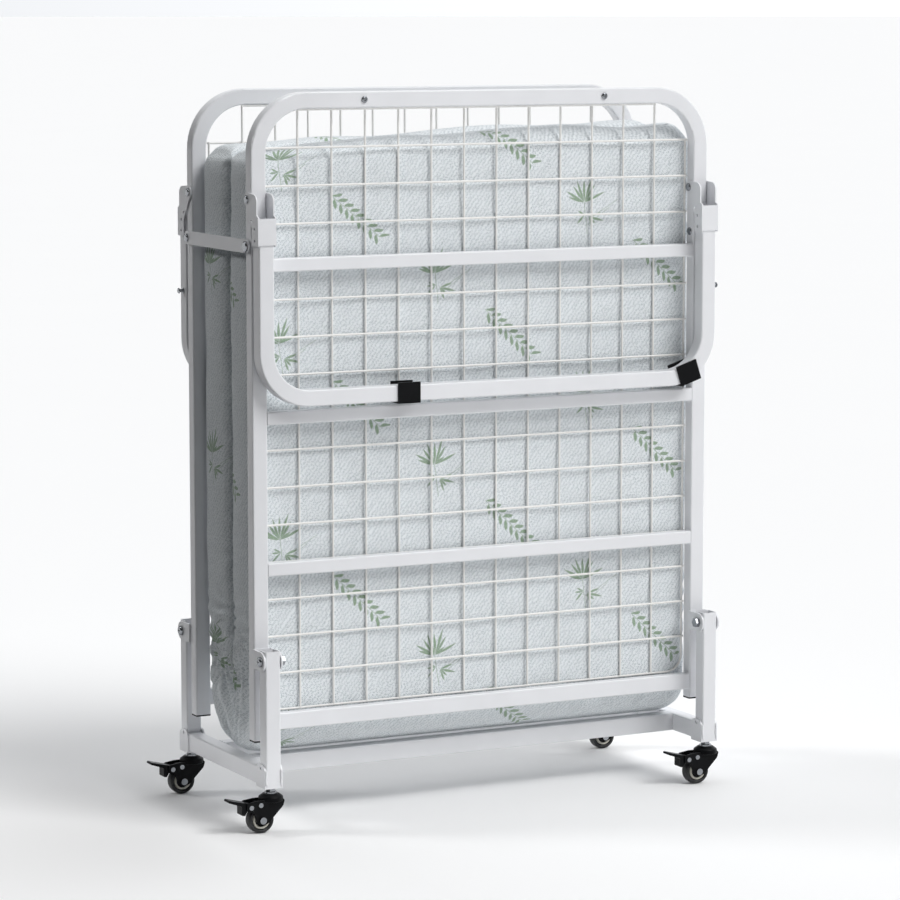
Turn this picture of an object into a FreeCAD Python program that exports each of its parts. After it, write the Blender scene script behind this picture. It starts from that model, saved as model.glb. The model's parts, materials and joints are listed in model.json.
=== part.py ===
import FreeCAD, Part
import math
import os

# Folding guest bed on four braked casters, folded shut with its mattress inside.
# X is the bed's width, -Y its front, +Z up, and the origin is on the floor under its middle.
# The bed has two equal halves. Each is built as the front half, and the rear half is the
# same half turned half a turn about Z. Lengths are in millimetres.

# Overall sizes
FRAME_WIDTH = 766.0          # over the side tubes
DECK_LENGTH = 950.0          # one deck half, from its open ends to the top of its bow
LAYER_SPACE = 98.65          # from the middle plane to a deck tube, room for one mattress layer
PIVOT_HEIGHT = 253.5         # deck bolts above the floor
PIVOT_TO_END = 124.0         # from the deck bolts down to the open ends of a deck half

# Square tube
TUBE_WALL = 1.2
TUBE_CORNER = 2.4            # outside corner radius of every tube
DECK_TUBE_WIDTH = 24.0
DECK_TUBE_DEPTH = 20.5
DECK_BEND = 90.0             # outside radius of the bow's bends
CROSS_TUBE_HEIGHT = 20.0
CROSS_TUBE_SETBACK = 5.5     # behind the mattress face of the bow
CROSS_TUBE_COUNT = 3
CROSS_TUBE_RISE = 243.0      # lower edge of the lowest above the open ends
CROSS_TUBE_DROP = 260.0      # lower edge of the highest below the top of the bow
BOTTOM_TUBE_HEIGHT = 25.0
BOTTOM_TUBE_RISE = 13.5
LEG_TUBE_DEPTH = 23.5
LEG_BEND = 80.0
LEG_GAP = 4.5                # between a deck tube and the leg folded against it
POST_DEPTH = 23.3
POST_GAP = 17.8              # between a deck tube and the post beside it
POST_ABOVE_PIVOT = 15.5
BASE_TUBE_DEPTH = 25.0
BASE_TUBE_HEIGHT = 27.0
BASE_HEIGHT = 68.0           # underside of the base tubes above the floor
CROSS_RAIL_OUT = 69.0        # outer face of a base cross rail from the middle plane

# Welded wire grid
WIRE_RADIUS = 1.7
WIRE_BITE = 0.5              # how far crossing wires are pressed into each other
GRID_COLUMNS = 13
GRID_ROWS = 16
GRID_CORNER = 26.0
GRID_SIDE_GAP = 4.4          # from a side tube to the middle of the outer wire

# U leg, its bracket and its feet
LEG_PIVOT_DROP = 153.5       # leg rivets below the top of the bow
LEG_PIVOT_TO_TOP = 30.0      # leg rivets above the open ends of the leg
LEG_PIVOT_TO_BAR = 302.0     # leg rivets above the underside of the leg's bar
BRACKET_SHEET = 2.0
BRACKET_LOBE = 10.0
BRACKET_LOW = 67.0           # leg rivets above the bracket's lower edge
BRACKET_WEB_TOP = 25.0       # leg rivets above the upper edge of the bracket's web
BRACKET_SHOULDER = 6.0       # the bracket's upper part set back from its web
BRACKET_CORNER = 11.0        # round of its upper front corner
DIMPLE_RADIUS = 2.2
CLIP_WIDTH = 36.0
CLIP_SHEET = 3.0
CLIP_REAR_SHEET = 2.4
CLIP_RISE = 4.4              # above the bar
CLIP_OFFSET = -143.0         # middle of the straight clip from the bed's middle
CLIP_TILT = 18.0             # the other clip has slipped this far round the bend
CLIP_SLIDE = 12.0            # and on past where it touches the bend
STUD_BELOW_PIVOT = 150.0
STUD_RADIUS = 2.6
STUD_REACH = 7.0

# Hinge hardware and the two transport straps
PIN_CLEARANCE = 0.05         # radial, on pins that turn
HOLE_CLEARANCE = 0.2         # radial, on pins that don't
SIDE_CLEARANCE = 0.4         # between plates that pass each other
CLEVIS_SHEET = 2.5
CLEVIS_RADIUS = 14.0
DECK_BOLT_RADIUS = 4.0
BOLT_HEAD_RADIUS = 7.5
BOLT_HEAD_HEIGHT = 4.0
NUT_HEIGHT = 6.5
NUT_FLATS = 13.0
RIVET_RADIUS = 3.0
RIVET_HEAD_RADIUS = 6.0
RIVET_HEAD_HEIGHT = 2.4
STRAP_DROP = 221.5           # strap pins below the top of the bow
STRAP_HEIGHT = 20.0
STRAP_SHEET = 2.5
STRAP_SPACER = 2.0
HOOK_PIN_RADIUS = 4.0
HOOK_SLOT_CLEARANCE = 0.7
SCREW_OFFSET = 201.0         # bow screws from the bed's middle
SCREW_RADIUS = 2.4
SCREW_HEAD_RADIUS = 5.0
SCREW_HEAD_HEIGHT = 2.8
END_CAP_HEIGHT = 2.2
END_CAP_PLUG = 16.0

# Corner brackets of the base
CORNER_SHEET = 2.4
CORNER_DEPTH = 31.0
CORNER_RISE = 33.0
CORNER_ROUND = 12.0
CORNER_HOLE_RADIUS = 2.6

# Casters, laid out from the stem's axis with the wheel trailing towards -X
WHEEL_RADIUS = 20.0
WHEEL_WIDTH = 17.0
HUB_RADIUS = 13.0
CASTER_TRAIL = 18.0
AXLE_RADIUS = 3.0
FORK_SHEET = 2.2
FORK_GAP = 1.0               # beside the wheel
STEM_RADIUS = 4.0
DOME_RADIUS = 19.0
DOME_TOP = 57.5
DOME_BASE = 46.0
BRIDGE_BASE = 42.5
PEDAL_PIVOT = (-36.0, 40.5)  # x, z
FORK_RIVET = (-21.0, 43.0)   # x, z
PEDAL_RIVET_RADIUS = 2.0
PEDAL_BARREL = 5.0

# Mattress, one layer on each deck half
MATTRESS_WIDTH = 750.0
MATTRESS_CLEARANCE = 0.4
MATTRESS_TOP_DROP = 38.0     # below the lower edge of the bow's top tube
MATTRESS_TOP_ROUND = 26.0
MATTRESS_BEND_ROUND = 72.0
MIDDLE_GAP = 0.5             # from the middle plane to each half

# Worked out from the sizes above
SIDE_X = FRAME_WIDTH / 2 - DECK_TUBE_WIDTH / 2
INNER_X = FRAME_WIDTH / 2 - DECK_TUBE_WIDTH
DECK_FACE_OUT = LAYER_SPACE + DECK_TUBE_DEPTH
PIVOT_OUT = DECK_FACE_OUT + POST_GAP + POST_DEPTH / 2
CROSS_TUBE_DEPTH = DECK_TUBE_DEPTH - CROSS_TUBE_SETBACK
DECK_MIDDLE_OUT = LAYER_SPACE + DECK_TUBE_DEPTH / 2
DECK_END_Z = PIVOT_HEIGHT - PIVOT_TO_END
DECK_TOP_Z = DECK_END_Z + DECK_LENGTH
TOP_TUBE_LOW_Z = DECK_TOP_Z - DECK_TUBE_WIDTH
LEG_INNER_OUT = DECK_FACE_OUT + LEG_GAP
LEG_OUTER_OUT = LEG_INNER_OUT + LEG_TUBE_DEPTH
LEG_PIVOT_Z = DECK_TOP_Z - LEG_PIVOT_DROP
LEG_BAR_Z = LEG_PIVOT_Z - LEG_PIVOT_TO_BAR
STRAP_Z = DECK_TOP_Z - STRAP_DROP
HALF_OUTSIDE = DECK_TUBE_WIDTH / 2 + SIDE_CLEARANCE
BASE_TOP_Z = BASE_HEIGHT + BASE_TUBE_HEIGHT
UP = FreeCAD.Vector(0, 0, 1)
ORIGIN = FreeCAD.Vector(0, 0, 0)
SIDES = (("left", -1), ("right", 1))


def save(node, shape):
    """Write one sub-part, which may be several separate solids, to its own file."""
    shape.exportStep(f"parts/{node}.step")


def both_halves(name, shape):
    """Save a front piece, and the rear one that is the same piece half a turn round."""
    save(f"front_{name}", shape)
    rear = shape.copy()
    rear.rotate(ORIGIN, UP, 180)
    save(f"rear_{name}", rear)


def mirrored(shape):
    """The same shape on the bed's other side."""
    return shape.mirror(ORIGIN, FreeCAD.Vector(1, 0, 0))


def in_yz(x):
    """Place outline corners given as (distance out, height) in the front half's plane at x."""
    return lambda out, z: FreeCAD.Vector(x, -out, z)


def in_xz(y):
    """Place outline corners given as (x, z) in the plane at y."""
    return lambda x, z: FreeCAD.Vector(x, y, z)


def outline(corners, place):
    """Face inside the corners (a, b, radius), each rounded to its radius."""
    count = len(corners)
    ends = []
    for i, (a, b, radius) in enumerate(corners):
        corner = FreeCAD.Vector(a, b, 0)
        before = FreeCAD.Vector(*corners[i - 1][:2], 0) - corner
        after = FreeCAD.Vector(*corners[(i + 1) % count][:2], 0) - corner
        before.normalize()
        after.normalize()
        if radius == 0:
            ends.append((corner, None, corner))
            continue
        half = before.getAngle(after) / 2
        bisector = before + after
        bisector.normalize()
        setback = radius / math.tan(half)
        middle = corner + bisector * (radius / math.sin(half) - radius)
        ends.append((corner + before * setback, middle, corner + after * setback))
    edges = []
    for i, (start, middle, end) in enumerate(ends):
        if middle is not None:
            arc = [place(p.x, p.y) for p in (start, middle, end)]
            edges.append(Part.Arc(*arc).toShape())
        following = ends[(i + 1) % count][0]
        if end.distanceToPoint(following) > 1e-6:
            edges.append(Part.makeLine(place(end.x, end.y), place(following.x, following.y)))
    return Part.Face(Part.Wire(edges))


def x_cylinder(x_low, x_high, out, z, radius):
    """Round bar along X on the front half."""
    low = FreeCAD.Vector(x_low, -out, z)
    return Part.makeCylinder(radius, x_high - x_low, low, FreeCAD.Vector(1, 0, 0))


def y_cylinder(y_low, y_high, x, z, radius):
    """Round bar along Y."""
    low = FreeCAD.Vector(x, y_low, z)
    return Part.makeCylinder(radius, y_high - y_low, low, FreeCAD.Vector(0, 1, 0))


def box(low, high):
    """Block between two opposite corners."""
    size = [b - a for a, b in zip(low, high)]
    return Part.makeBox(*size, FreeCAD.Vector(*low))


def tube_section(width, depth, corner):
    """Rounded rectangle about the origin, across a tube that runs along Z."""
    a, b = width / 2, depth / 2
    corners = [(-a, -b, corner), (a, -b, corner), (a, b, corner), (-a, b, corner)]
    return outline(corners, lambda x, y: FreeCAD.Vector(x, y, 0))


def straight_tube(width, depth, length):
    """Square tube along +Z from the origin, with both ends open."""
    corner = min(TUBE_CORNER, 0.3 * min(width, depth))
    bore_corner = max(corner - TUBE_WALL, 0.2)
    skin = tube_section(width, depth, corner).extrude(UP * length)
    bore = tube_section(width - 2 * TUBE_WALL, depth - 2 * TUBE_WALL, bore_corner)
    return skin.cut(bore.extrude(UP * length))


def tube_along_x(height, depth, x_low, x_high, y, z):
    """Square tube along X, about the line at y and z."""
    tube = straight_tube(height, depth, x_high - x_low)
    tube.rotate(ORIGIN, FreeCAD.Vector(0, 1, 0), 90)
    tube.translate(FreeCAD.Vector(x_low, y, z))
    return tube


def tube_along_y(width, height, y_low, y_high, x, z):
    """Square tube along Y, about the line at x and z."""
    tube = straight_tube(width, height, y_high - y_low)
    tube.rotate(ORIGIN, FreeCAD.Vector(1, 0, 0), -90)
    tube.translate(FreeCAD.Vector(x, y_low, z))
    return tube


def u_path(half_width, end_z, bar_z, bend, out):
    """Path up one side, along a bar and down the other side, with round bends."""
    turn = 1 if bar_z > end_z else -1
    y = -out
    diagonal = bend * (1 - math.sqrt(0.5))
    near_bar = bar_z - turn * bend
    straight = half_width - bend
    points = [(-half_width, end_z), (-half_width, near_bar),
              (-half_width + diagonal, bar_z - turn * diagonal), (-straight, bar_z),
              (straight, bar_z), (half_width - diagonal, bar_z - turn * diagonal),
              (half_width, near_bar), (half_width, end_z)]
    p = [FreeCAD.Vector(x, y, z) for x, z in points]
    edges = [Part.makeLine(p[0], p[1]), Part.Arc(p[1], p[2], p[3]).toShape(),
             Part.makeLine(p[3], p[4]), Part.Arc(p[4], p[5], p[6]).toShape(),
             Part.makeLine(p[6], p[7])]
    return Part.Wire(edges)


def bent_tube(width, depth, path):
    """Square tube swept along a path that starts upright."""
    start = path.Vertexes[0].Point
    bodies = []
    for inset in (0, TUBE_WALL):
        section = tube_section(width - 2 * inset, depth - 2 * inset, TUBE_CORNER - inset)
        section.translate(start)
        bodies.append(path.makePipeShell([section.OuterWire], True, False))
    return bodies[0].cut(bodies[1])


def round_head(base, direction, radius, height):
    """Low head with a rounded rim, standing on base along direction."""
    profile = outline([(0, 0, 0), (radius, 0, 0), (radius, height, 0.8 * height),
                       (0, height, 0)], in_xz(0))
    head = profile.revolve(ORIGIN, UP, 360)
    head.Placement = FreeCAD.Placement(base, FreeCAD.Rotation(UP, direction))
    return head


def x_head(x, out, z, radius, height, side):
    """Low round head that starts at x and stands out towards side, on the front half."""
    return round_head(FreeCAD.Vector(x, -out, z), FreeCAD.Vector(side, 0, 0), radius, height)


def hexagon(x_low, x_high, out, z):
    """Hexagon nut blank along X on the front half."""
    across = NUT_FLATS / math.sqrt(3)
    corners = [(out + across * math.cos(math.radians(60 * k)),
                z + across * math.sin(math.radians(60 * k)), 0) for k in range(6)]
    return outline(corners, in_yz(x_low)).extrude(FreeCAD.Vector(x_high - x_low, 0, 0))


def base_frame():
    """Side rails, cross rails, posts and the corner brackets that join them."""
    end_y = PIVOT_OUT - POST_DEPTH / 2
    middle_z = BASE_HEIGHT + BASE_TUBE_HEIGHT / 2
    cross_y = CROSS_RAIL_OUT - BASE_TUBE_DEPTH / 2
    post_height = PIVOT_HEIGHT + POST_ABOVE_PIVOT - BASE_HEIGHT
    for side, sign in SIDES:
        x = sign * SIDE_X
        rail = tube_along_y(DECK_TUBE_WIDTH, BASE_TUBE_HEIGHT, -end_y, end_y, x, middle_z)
        save(f"base_side_rail_{side}", rail)
    for end, y in (("front", -cross_y), ("rear", cross_y)):
        rail = tube_along_x(BASE_TUBE_HEIGHT, BASE_TUBE_DEPTH, -INNER_X, INNER_X, y, middle_z)
        save(f"base_cross_rail_{end}", rail)
    for end, out in (("front", PIVOT_OUT), ("rear", -PIVOT_OUT)):
        for side, sign in SIDES:
            post = straight_tube(DECK_TUBE_WIDTH, POST_DEPTH, post_height)
            post.translate(FreeCAD.Vector(sign * SIDE_X, -out, BASE_HEIGHT))
            bolt_hole = x_cylinder(sign * SIDE_X - DECK_TUBE_WIDTH,
                                   sign * SIDE_X + DECK_TUBE_WIDTH, out, PIVOT_HEIGHT,
                                   DECK_BOLT_RADIUS + HOLE_CLEARANCE)
            save(f"post_{end}_{side}", post.cut(bolt_hole))


def corner_bracket():
    """Bent sheet under the front left post, with a rounded ear on each side of it."""
    outside = PIVOT_OUT + POST_DEPTH / 2
    low_z = BASE_HEIGHT - CORNER_SHEET
    top_z = BASE_HEIGHT + CORNER_RISE
    inner = outside - CORNER_DEPTH
    ear = outline([(outside, low_z, 0), (outside, top_z, CORNER_ROUND),
                   (inner, top_z, CORNER_ROUND), (inner, low_z, 0)], in_yz(0))
    half = DECK_TUBE_WIDTH / 2
    wall = FreeCAD.Vector(CORNER_SHEET, 0, 0)
    outer_ear = ear.extrude(wall)
    outer_ear.translate(FreeCAD.Vector(-SIDE_X - half - CORNER_SHEET, 0, 0))
    inner_ear = ear.extrude(wall)
    inner_ear.translate(FreeCAD.Vector(-SIDE_X + half, 0, 0))
    floor = box((-SIDE_X - half - CORNER_SHEET, -outside, low_z),
                (-SIDE_X + half + CORNER_SHEET, -inner, BASE_HEIGHT))
    bracket = floor.multiFuse([outer_ear, inner_ear]).removeSplitter()
    stem_hole = Part.makeCylinder(STEM_RADIUS + HOLE_CLEARANCE, CORNER_SHEET * 3,
                                  FreeCAD.Vector(-SIDE_X, -PIVOT_OUT, low_z - CORNER_SHEET))
    hole_out = (outside + inner) / 2
    ear_holes = x_cylinder(-SIDE_X - DECK_TUBE_WIDTH, -SIDE_X + DECK_TUBE_WIDTH, hole_out,
                           top_z - CORNER_ROUND / 2, CORNER_HOLE_RADIUS)
    ear_holes = ear_holes.cut(box((-SIDE_X - half, -outside, low_z),
                                  (-SIDE_X + half, -inner, top_z)))
    return bracket.cut(stem_hole).cut(ear_holes)


def four_corners(shape):
    """The front left piece and its three copies, mirrored to the other corners."""
    front = [shape, mirrored(shape)]
    rear = []
    for piece in front:
        turned = piece.copy()
        turned.rotate(ORIGIN, UP, 180)
        rear.append(turned)
    return Part.makeCompound(front + rear)


def deck_bolt():
    """Bolt through the left clevis and post, with a cross recess in its head."""
    head_x = -SIDE_X - HALF_OUTSIDE - CLEVIS_SHEET - SIDE_CLEARANCE
    nut_x = -SIDE_X + HALF_OUTSIDE + CLEVIS_SHEET + SIDE_CLEARANCE
    shank = x_cylinder(head_x, nut_x, PIVOT_OUT, PIVOT_HEIGHT, DECK_BOLT_RADIUS)
    head = x_head(head_x, PIVOT_OUT, PIVOT_HEIGHT, BOLT_HEAD_RADIUS, BOLT_HEAD_HEIGHT, -1)
    bolt = shank.fuse(head)
    slot_half, slot_reach, slot_depth = 0.6, 4.0, 2.2
    top_x = head_x - BOLT_HEAD_HEIGHT
    for reach_out, reach_z in ((slot_reach, slot_half), (slot_half, slot_reach)):
        slot = box((top_x - 1, -PIVOT_OUT - reach_out, PIVOT_HEIGHT - reach_z),
                   (top_x + slot_depth, -PIVOT_OUT + reach_out, PIVOT_HEIGHT + reach_z))
        bolt = bolt.cut(slot)
    return bolt.removeSplitter()


def deck_nut():
    """Nut on the inner end of the left deck bolt, flush against the bolt's shoulder."""
    nut_x = -SIDE_X + HALF_OUTSIDE + CLEVIS_SHEET + SIDE_CLEARANCE
    return hexagon(nut_x, nut_x + NUT_HEIGHT, PIVOT_OUT, PIVOT_HEIGHT)


def deck_bow():
    """Inverted U of square tube that carries one mattress layer."""
    path = u_path(SIDE_X, DECK_END_Z, DECK_TOP_Z - DECK_TUBE_WIDTH / 2,
                  DECK_BEND - DECK_TUBE_WIDTH / 2, DECK_MIDDLE_OUT)
    bow = bent_tube(DECK_TUBE_WIDTH, DECK_TUBE_DEPTH, path)
    holes = []
    for side, sign in SIDES:
        for z, radius in ((LEG_PIVOT_Z, RIVET_RADIUS), (STRAP_Z, strap_pin_radius(sign))):
            holes.append(x_cylinder(sign * SIDE_X - DECK_TUBE_WIDTH,
                                    sign * SIDE_X + DECK_TUBE_WIDTH, DECK_MIDDLE_OUT, z,
                                    radius + HOLE_CLEARANCE))
        holes.append(y_cylinder(-DECK_FACE_OUT - 1, -DECK_FACE_OUT + TUBE_WALL * 2,
                                sign * SCREW_OFFSET, DECK_TOP_Z - DECK_TUBE_WIDTH / 2,
                                SCREW_RADIUS + HOLE_CLEARANCE))
    return bow.cut(Part.makeCompound(holes))


def strap_pin_radius(sign):
    """The front half has its hook pin on the left and its strap's rivet on the right."""
    return HOOK_PIN_RADIUS if sign < 0 else RIVET_RADIUS


def cross_tubes():
    """Three cross tubes and the deeper bottom tube, flush with the bow's outer face."""
    y = -DECK_FACE_OUT + CROSS_TUBE_DEPTH / 2
    pitch = (DECK_LENGTH - CROSS_TUBE_DROP - CROSS_TUBE_RISE) / (CROSS_TUBE_COUNT - 1)
    sizes = [(CROSS_TUBE_RISE + k * pitch, CROSS_TUBE_HEIGHT) for k in range(CROSS_TUBE_COUNT)]
    sizes.append((BOTTOM_TUBE_RISE, BOTTOM_TUBE_HEIGHT))
    tubes = [tube_along_x(height, CROSS_TUBE_DEPTH, -INNER_X, INNER_X, y,
                          DECK_END_Z + rise + height / 2) for rise, height in sizes]
    return Part.makeCompound(tubes)


def wire_grid():
    """Wires up and down inside, wires across outside them, and an outer wire round the foot."""
    cross_out = DECK_FACE_OUT - CROSS_TUBE_DEPTH - WIRE_RADIUS
    upright_out = cross_out - 2 * WIRE_RADIUS + WIRE_BITE
    side = INNER_X - GRID_SIDE_GAP
    top = TOP_TUBE_LOW_Z - WIRE_RADIUS
    foot = DECK_END_Z + BOTTOM_TUBE_RISE + BOTTOM_TUBE_HEIGHT + WIRE_RADIUS
    pitch = 2 * side / GRID_COLUMNS
    step = (top - foot) / GRID_ROWS
    overrun = WIRE_RADIUS

    rim_path = u_path(side, top - step + overrun, foot, GRID_CORNER, upright_out)
    start = rim_path.Vertexes[0].Point
    ring = Part.Wire(Part.makeCircle(WIRE_RADIUS, start, UP))
    rim = rim_path.makePipeShell([ring], True, False)

    wires = []
    for column in range(1, GRID_COLUMNS):
        low = FreeCAD.Vector(-side + column * pitch, -upright_out, foot)
        wires.append(Part.makeCylinder(WIRE_RADIUS, top - foot, low, UP))
    for row in range(1, GRID_ROWS + 1):
        reach = side + overrun if row < GRID_ROWS else side - pitch
        wires.append(x_cylinder(-reach, reach, cross_out, foot + row * step, WIRE_RADIUS))
    return rim.multiFuse(wires)


def end_caps():
    """Black plugs that close the open ends of the bow."""
    bore = (DECK_TUBE_WIDTH - 2 * TUBE_WALL, DECK_TUBE_DEPTH - 2 * TUBE_WALL)
    plug = tube_section(bore[0], bore[1], TUBE_CORNER - TUBE_WALL).extrude(UP * END_CAP_PLUG)
    flange = tube_section(DECK_TUBE_WIDTH, DECK_TUBE_DEPTH, TUBE_CORNER)
    flange = flange.extrude(UP * -END_CAP_HEIGHT)
    cap = plug.fuse(flange)
    cap.translate(FreeCAD.Vector(-SIDE_X, -DECK_MIDDLE_OUT, DECK_END_Z))
    return Part.makeCompound([cap, mirrored(cap)])


def clevises():
    """Sheet forks on the bow's outer face that straddle the posts and turn on the deck bolts."""
    half = HALF_OUTSIDE + CLEVIS_SHEET
    low, high = PIVOT_HEIGHT - CLEVIS_RADIUS, PIVOT_HEIGHT + CLEVIS_RADIUS
    web = box((-SIDE_X - half, -DECK_FACE_OUT - CLEVIS_SHEET, low),
              (-SIDE_X + half, -DECK_FACE_OUT, high))
    tip = PIVOT_OUT + CLEVIS_RADIUS
    round_end = CLEVIS_RADIUS - 0.01
    ear = outline([(DECK_FACE_OUT, low, 0), (tip, low, round_end), (tip, high, round_end),
                   (DECK_FACE_OUT, high, 0)], in_yz(0)).extrude(FreeCAD.Vector(CLEVIS_SHEET, 0, 0))
    ears = []
    for x in (-SIDE_X - half, -SIDE_X + HALF_OUTSIDE):
        copy = ear.copy()
        copy.translate(FreeCAD.Vector(x, 0, 0))
        ears.append(copy)
    bore = x_cylinder(-SIDE_X - DECK_TUBE_WIDTH, -SIDE_X + DECK_TUBE_WIDTH, PIVOT_OUT,
                      PIVOT_HEIGHT, DECK_BOLT_RADIUS + PIN_CLEARANCE)
    fork = web.multiFuse(ears).removeSplitter().cut(bore)
    return Part.makeCompound([fork, mirrored(fork)])


def bow_screws():
    """Two cross-head screws in the outer face of the bow's top tube."""
    z = DECK_TOP_Z - DECK_TUBE_WIDTH / 2
    shank = y_cylinder(-DECK_FACE_OUT, -DECK_FACE_OUT + DECK_TUBE_DEPTH / 2, -SCREW_OFFSET, z,
                       SCREW_RADIUS)
    head = round_head(FreeCAD.Vector(-SCREW_OFFSET, -DECK_FACE_OUT, z), FreeCAD.Vector(0, -1, 0),
                      SCREW_HEAD_RADIUS, SCREW_HEAD_HEIGHT)
    screw = shank.fuse(head)
    slot_half, slot_reach, slot_depth = 0.5, 2.8, 1.6
    top_y = -DECK_FACE_OUT - SCREW_HEAD_HEIGHT
    for reach_x, reach_z in ((slot_reach, slot_half), (slot_half, slot_reach)):
        screw = screw.cut(box((-SCREW_OFFSET - reach_x, top_y - 1, z - reach_z),
                              (-SCREW_OFFSET + reach_x, top_y + slot_depth, z + reach_z)))
    return Part.makeCompound([screw, mirrored(screw)])


def leg_rivet():
    """Rivet that the left leg bracket turns on, through the bow's side tube."""
    outside = HALF_OUTSIDE + BRACKET_SHEET + SIDE_CLEARANCE
    shank = x_cylinder(-SIDE_X - outside, -SIDE_X + outside, DECK_MIDDLE_OUT, LEG_PIVOT_Z,
                       RIVET_RADIUS)
    heads = [x_head(-SIDE_X + sign * outside, DECK_MIDDLE_OUT, LEG_PIVOT_Z,
                    RIVET_HEAD_RADIUS, RIVET_HEAD_HEIGHT, sign) for sign in (-1, 1)]
    return shank.multiFuse(heads).removeSplitter()


def strap_pin(sign, radius, head_radius, shoulder):
    """Pin through one side tube that holds a strap, with a shoulder beside the tube."""
    face = sign * (FRAME_WIDTH / 2)
    inner = sign * INNER_X
    strap_out = STRAP_SPACER + STRAP_SHEET + 2 * SIDE_CLEARANCE
    head_x = face + sign * strap_out
    shank_ends = sorted((inner, head_x))
    pin = [x_cylinder(*shank_ends, DECK_MIDDLE_OUT, STRAP_Z, radius),
           x_head(head_x, DECK_MIDDLE_OUT, STRAP_Z, head_radius, RIVET_HEAD_HEIGHT, sign),
           x_head(inner, DECK_MIDDLE_OUT, STRAP_Z, RIVET_HEAD_RADIUS, RIVET_HEAD_HEIGHT, -sign)]
    if shoulder:
        ends = sorted((face, face + sign * STRAP_SPACER))
        pin.append(x_cylinder(*ends, DECK_MIDDLE_OUT, STRAP_Z, shoulder))
    return pin[0].multiFuse(pin[1:]).removeSplitter()


def deck_rivets():
    """Both leg rivets, the pin that the other half's strap hooks on, and the strap's rivet."""
    left = leg_rivet()
    hook_pin = strap_pin(-1, HOOK_PIN_RADIUS, STRAP_HEIGHT * 0.38, 0)
    strap_rivet = strap_pin(1, RIVET_RADIUS, RIVET_HEAD_RADIUS, RIVET_HEAD_RADIUS)
    return Part.makeCompound([left, mirrored(left), hook_pin, strap_rivet])


def strap():
    """Flat bar from the front right rivet to the rear right pin, with a slot open below."""
    radius = STRAP_HEIGHT / 2
    x_low = FRAME_WIDTH / 2 + STRAP_SPACER + SIDE_CLEARANCE
    reach = DECK_MIDDLE_OUT + radius
    low, high = STRAP_Z - radius, STRAP_Z + radius
    round_end = radius - 0.01
    bar = outline([(reach, low, round_end), (reach, high, round_end),
                   (-reach, high, round_end), (-reach, low, round_end)], in_yz(x_low))
    bar = bar.extrude(FreeCAD.Vector(STRAP_SHEET, 0, 0))
    x_high = x_low + STRAP_SHEET
    bore = x_cylinder(x_low - 1, x_high + 1, DECK_MIDDLE_OUT, STRAP_Z,
                      RIVET_RADIUS + PIN_CLEARANCE)
    slot_half = HOOK_PIN_RADIUS + HOOK_SLOT_CLEARANCE
    slot_top = x_cylinder(x_low - 1, x_high + 1, -DECK_MIDDLE_OUT, STRAP_Z, slot_half)
    slot = box((x_low - 1, DECK_MIDDLE_OUT - slot_half, low - 1),
               (x_high + 1, DECK_MIDDLE_OUT + slot_half, STRAP_Z))
    return bar.cut(bore).cut(slot_top.fuse(slot))


def leg_tube():
    """U of square tube, hanging from its open ends with the bar at the bottom."""
    path = u_path(SIDE_X, LEG_PIVOT_Z - LEG_PIVOT_TO_TOP, LEG_BAR_Z + DECK_TUBE_WIDTH / 2,
                  LEG_BEND - DECK_TUBE_WIDTH / 2, (LEG_INNER_OUT + LEG_OUTER_OUT) / 2)
    return bent_tube(DECK_TUBE_WIDTH, LEG_TUBE_DEPTH, path)


def leg_brackets():
    """Sheet channels on the leg's ends, whose lobes reach back to the leg rivets."""
    outside = LEG_OUTER_OUT + BRACKET_SHEET
    low = LEG_PIVOT_Z - BRACKET_LOW
    web_top = LEG_PIVOT_Z - BRACKET_WEB_TOP
    lobe_top = LEG_PIVOT_Z + BRACKET_LOBE
    shoulder = outside - BRACKET_SHOULDER
    inner = LEG_INNER_OUT + 3.0
    cheek = outline([(outside, low, 2), (outside, web_top, 1.5), (shoulder, web_top + 3, 1.5),
                     (shoulder, lobe_top - 3, BRACKET_CORNER), (DECK_MIDDLE_OUT, lobe_top, 0),
                     (DECK_MIDDLE_OUT - 0.75 * BRACKET_LOBE, LEG_PIVOT_Z - 5, 0),
                     (inner, web_top - 16, 8), (inner, low, 2)], in_yz(0))
    sheet = FreeCAD.Vector(BRACKET_SHEET, 0, 0)
    cheek = cheek.extrude(sheet)
    lobe = x_cylinder(0, BRACKET_SHEET, DECK_MIDDLE_OUT, LEG_PIVOT_Z, BRACKET_LOBE)
    cheek = cheek.fuse(lobe).removeSplitter()
    dimples = [x_cylinder(-1, BRACKET_SHEET + 1, out, z, DIMPLE_RADIUS)
               for out, z in ((inner - 1, web_top - 6), (inner + 8.5, web_top - 17),
                              (inner + 9.5, low + 8))]
    bore = x_cylinder(-1, BRACKET_SHEET + 1, DECK_MIDDLE_OUT, LEG_PIVOT_Z,
                      RIVET_RADIUS + PIN_CLEARANCE)
    cheek = cheek.cut(Part.makeCompound(dimples + [bore]))
    half = HALF_OUTSIDE + BRACKET_SHEET
    pieces = []
    for x in (-SIDE_X - half, -SIDE_X + HALF_OUTSIDE):
        copy = cheek.copy()
        copy.translate(FreeCAD.Vector(x, 0, 0))
        pieces.append(copy)
    web = box((-SIDE_X - half, -outside, low + 2), (-SIDE_X + half, -LEG_OUTER_OUT, web_top - 1.5))
    bracket = web.multiFuse(pieces).removeSplitter()
    return Part.makeCompound([bracket, mirrored(bracket)])


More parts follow.
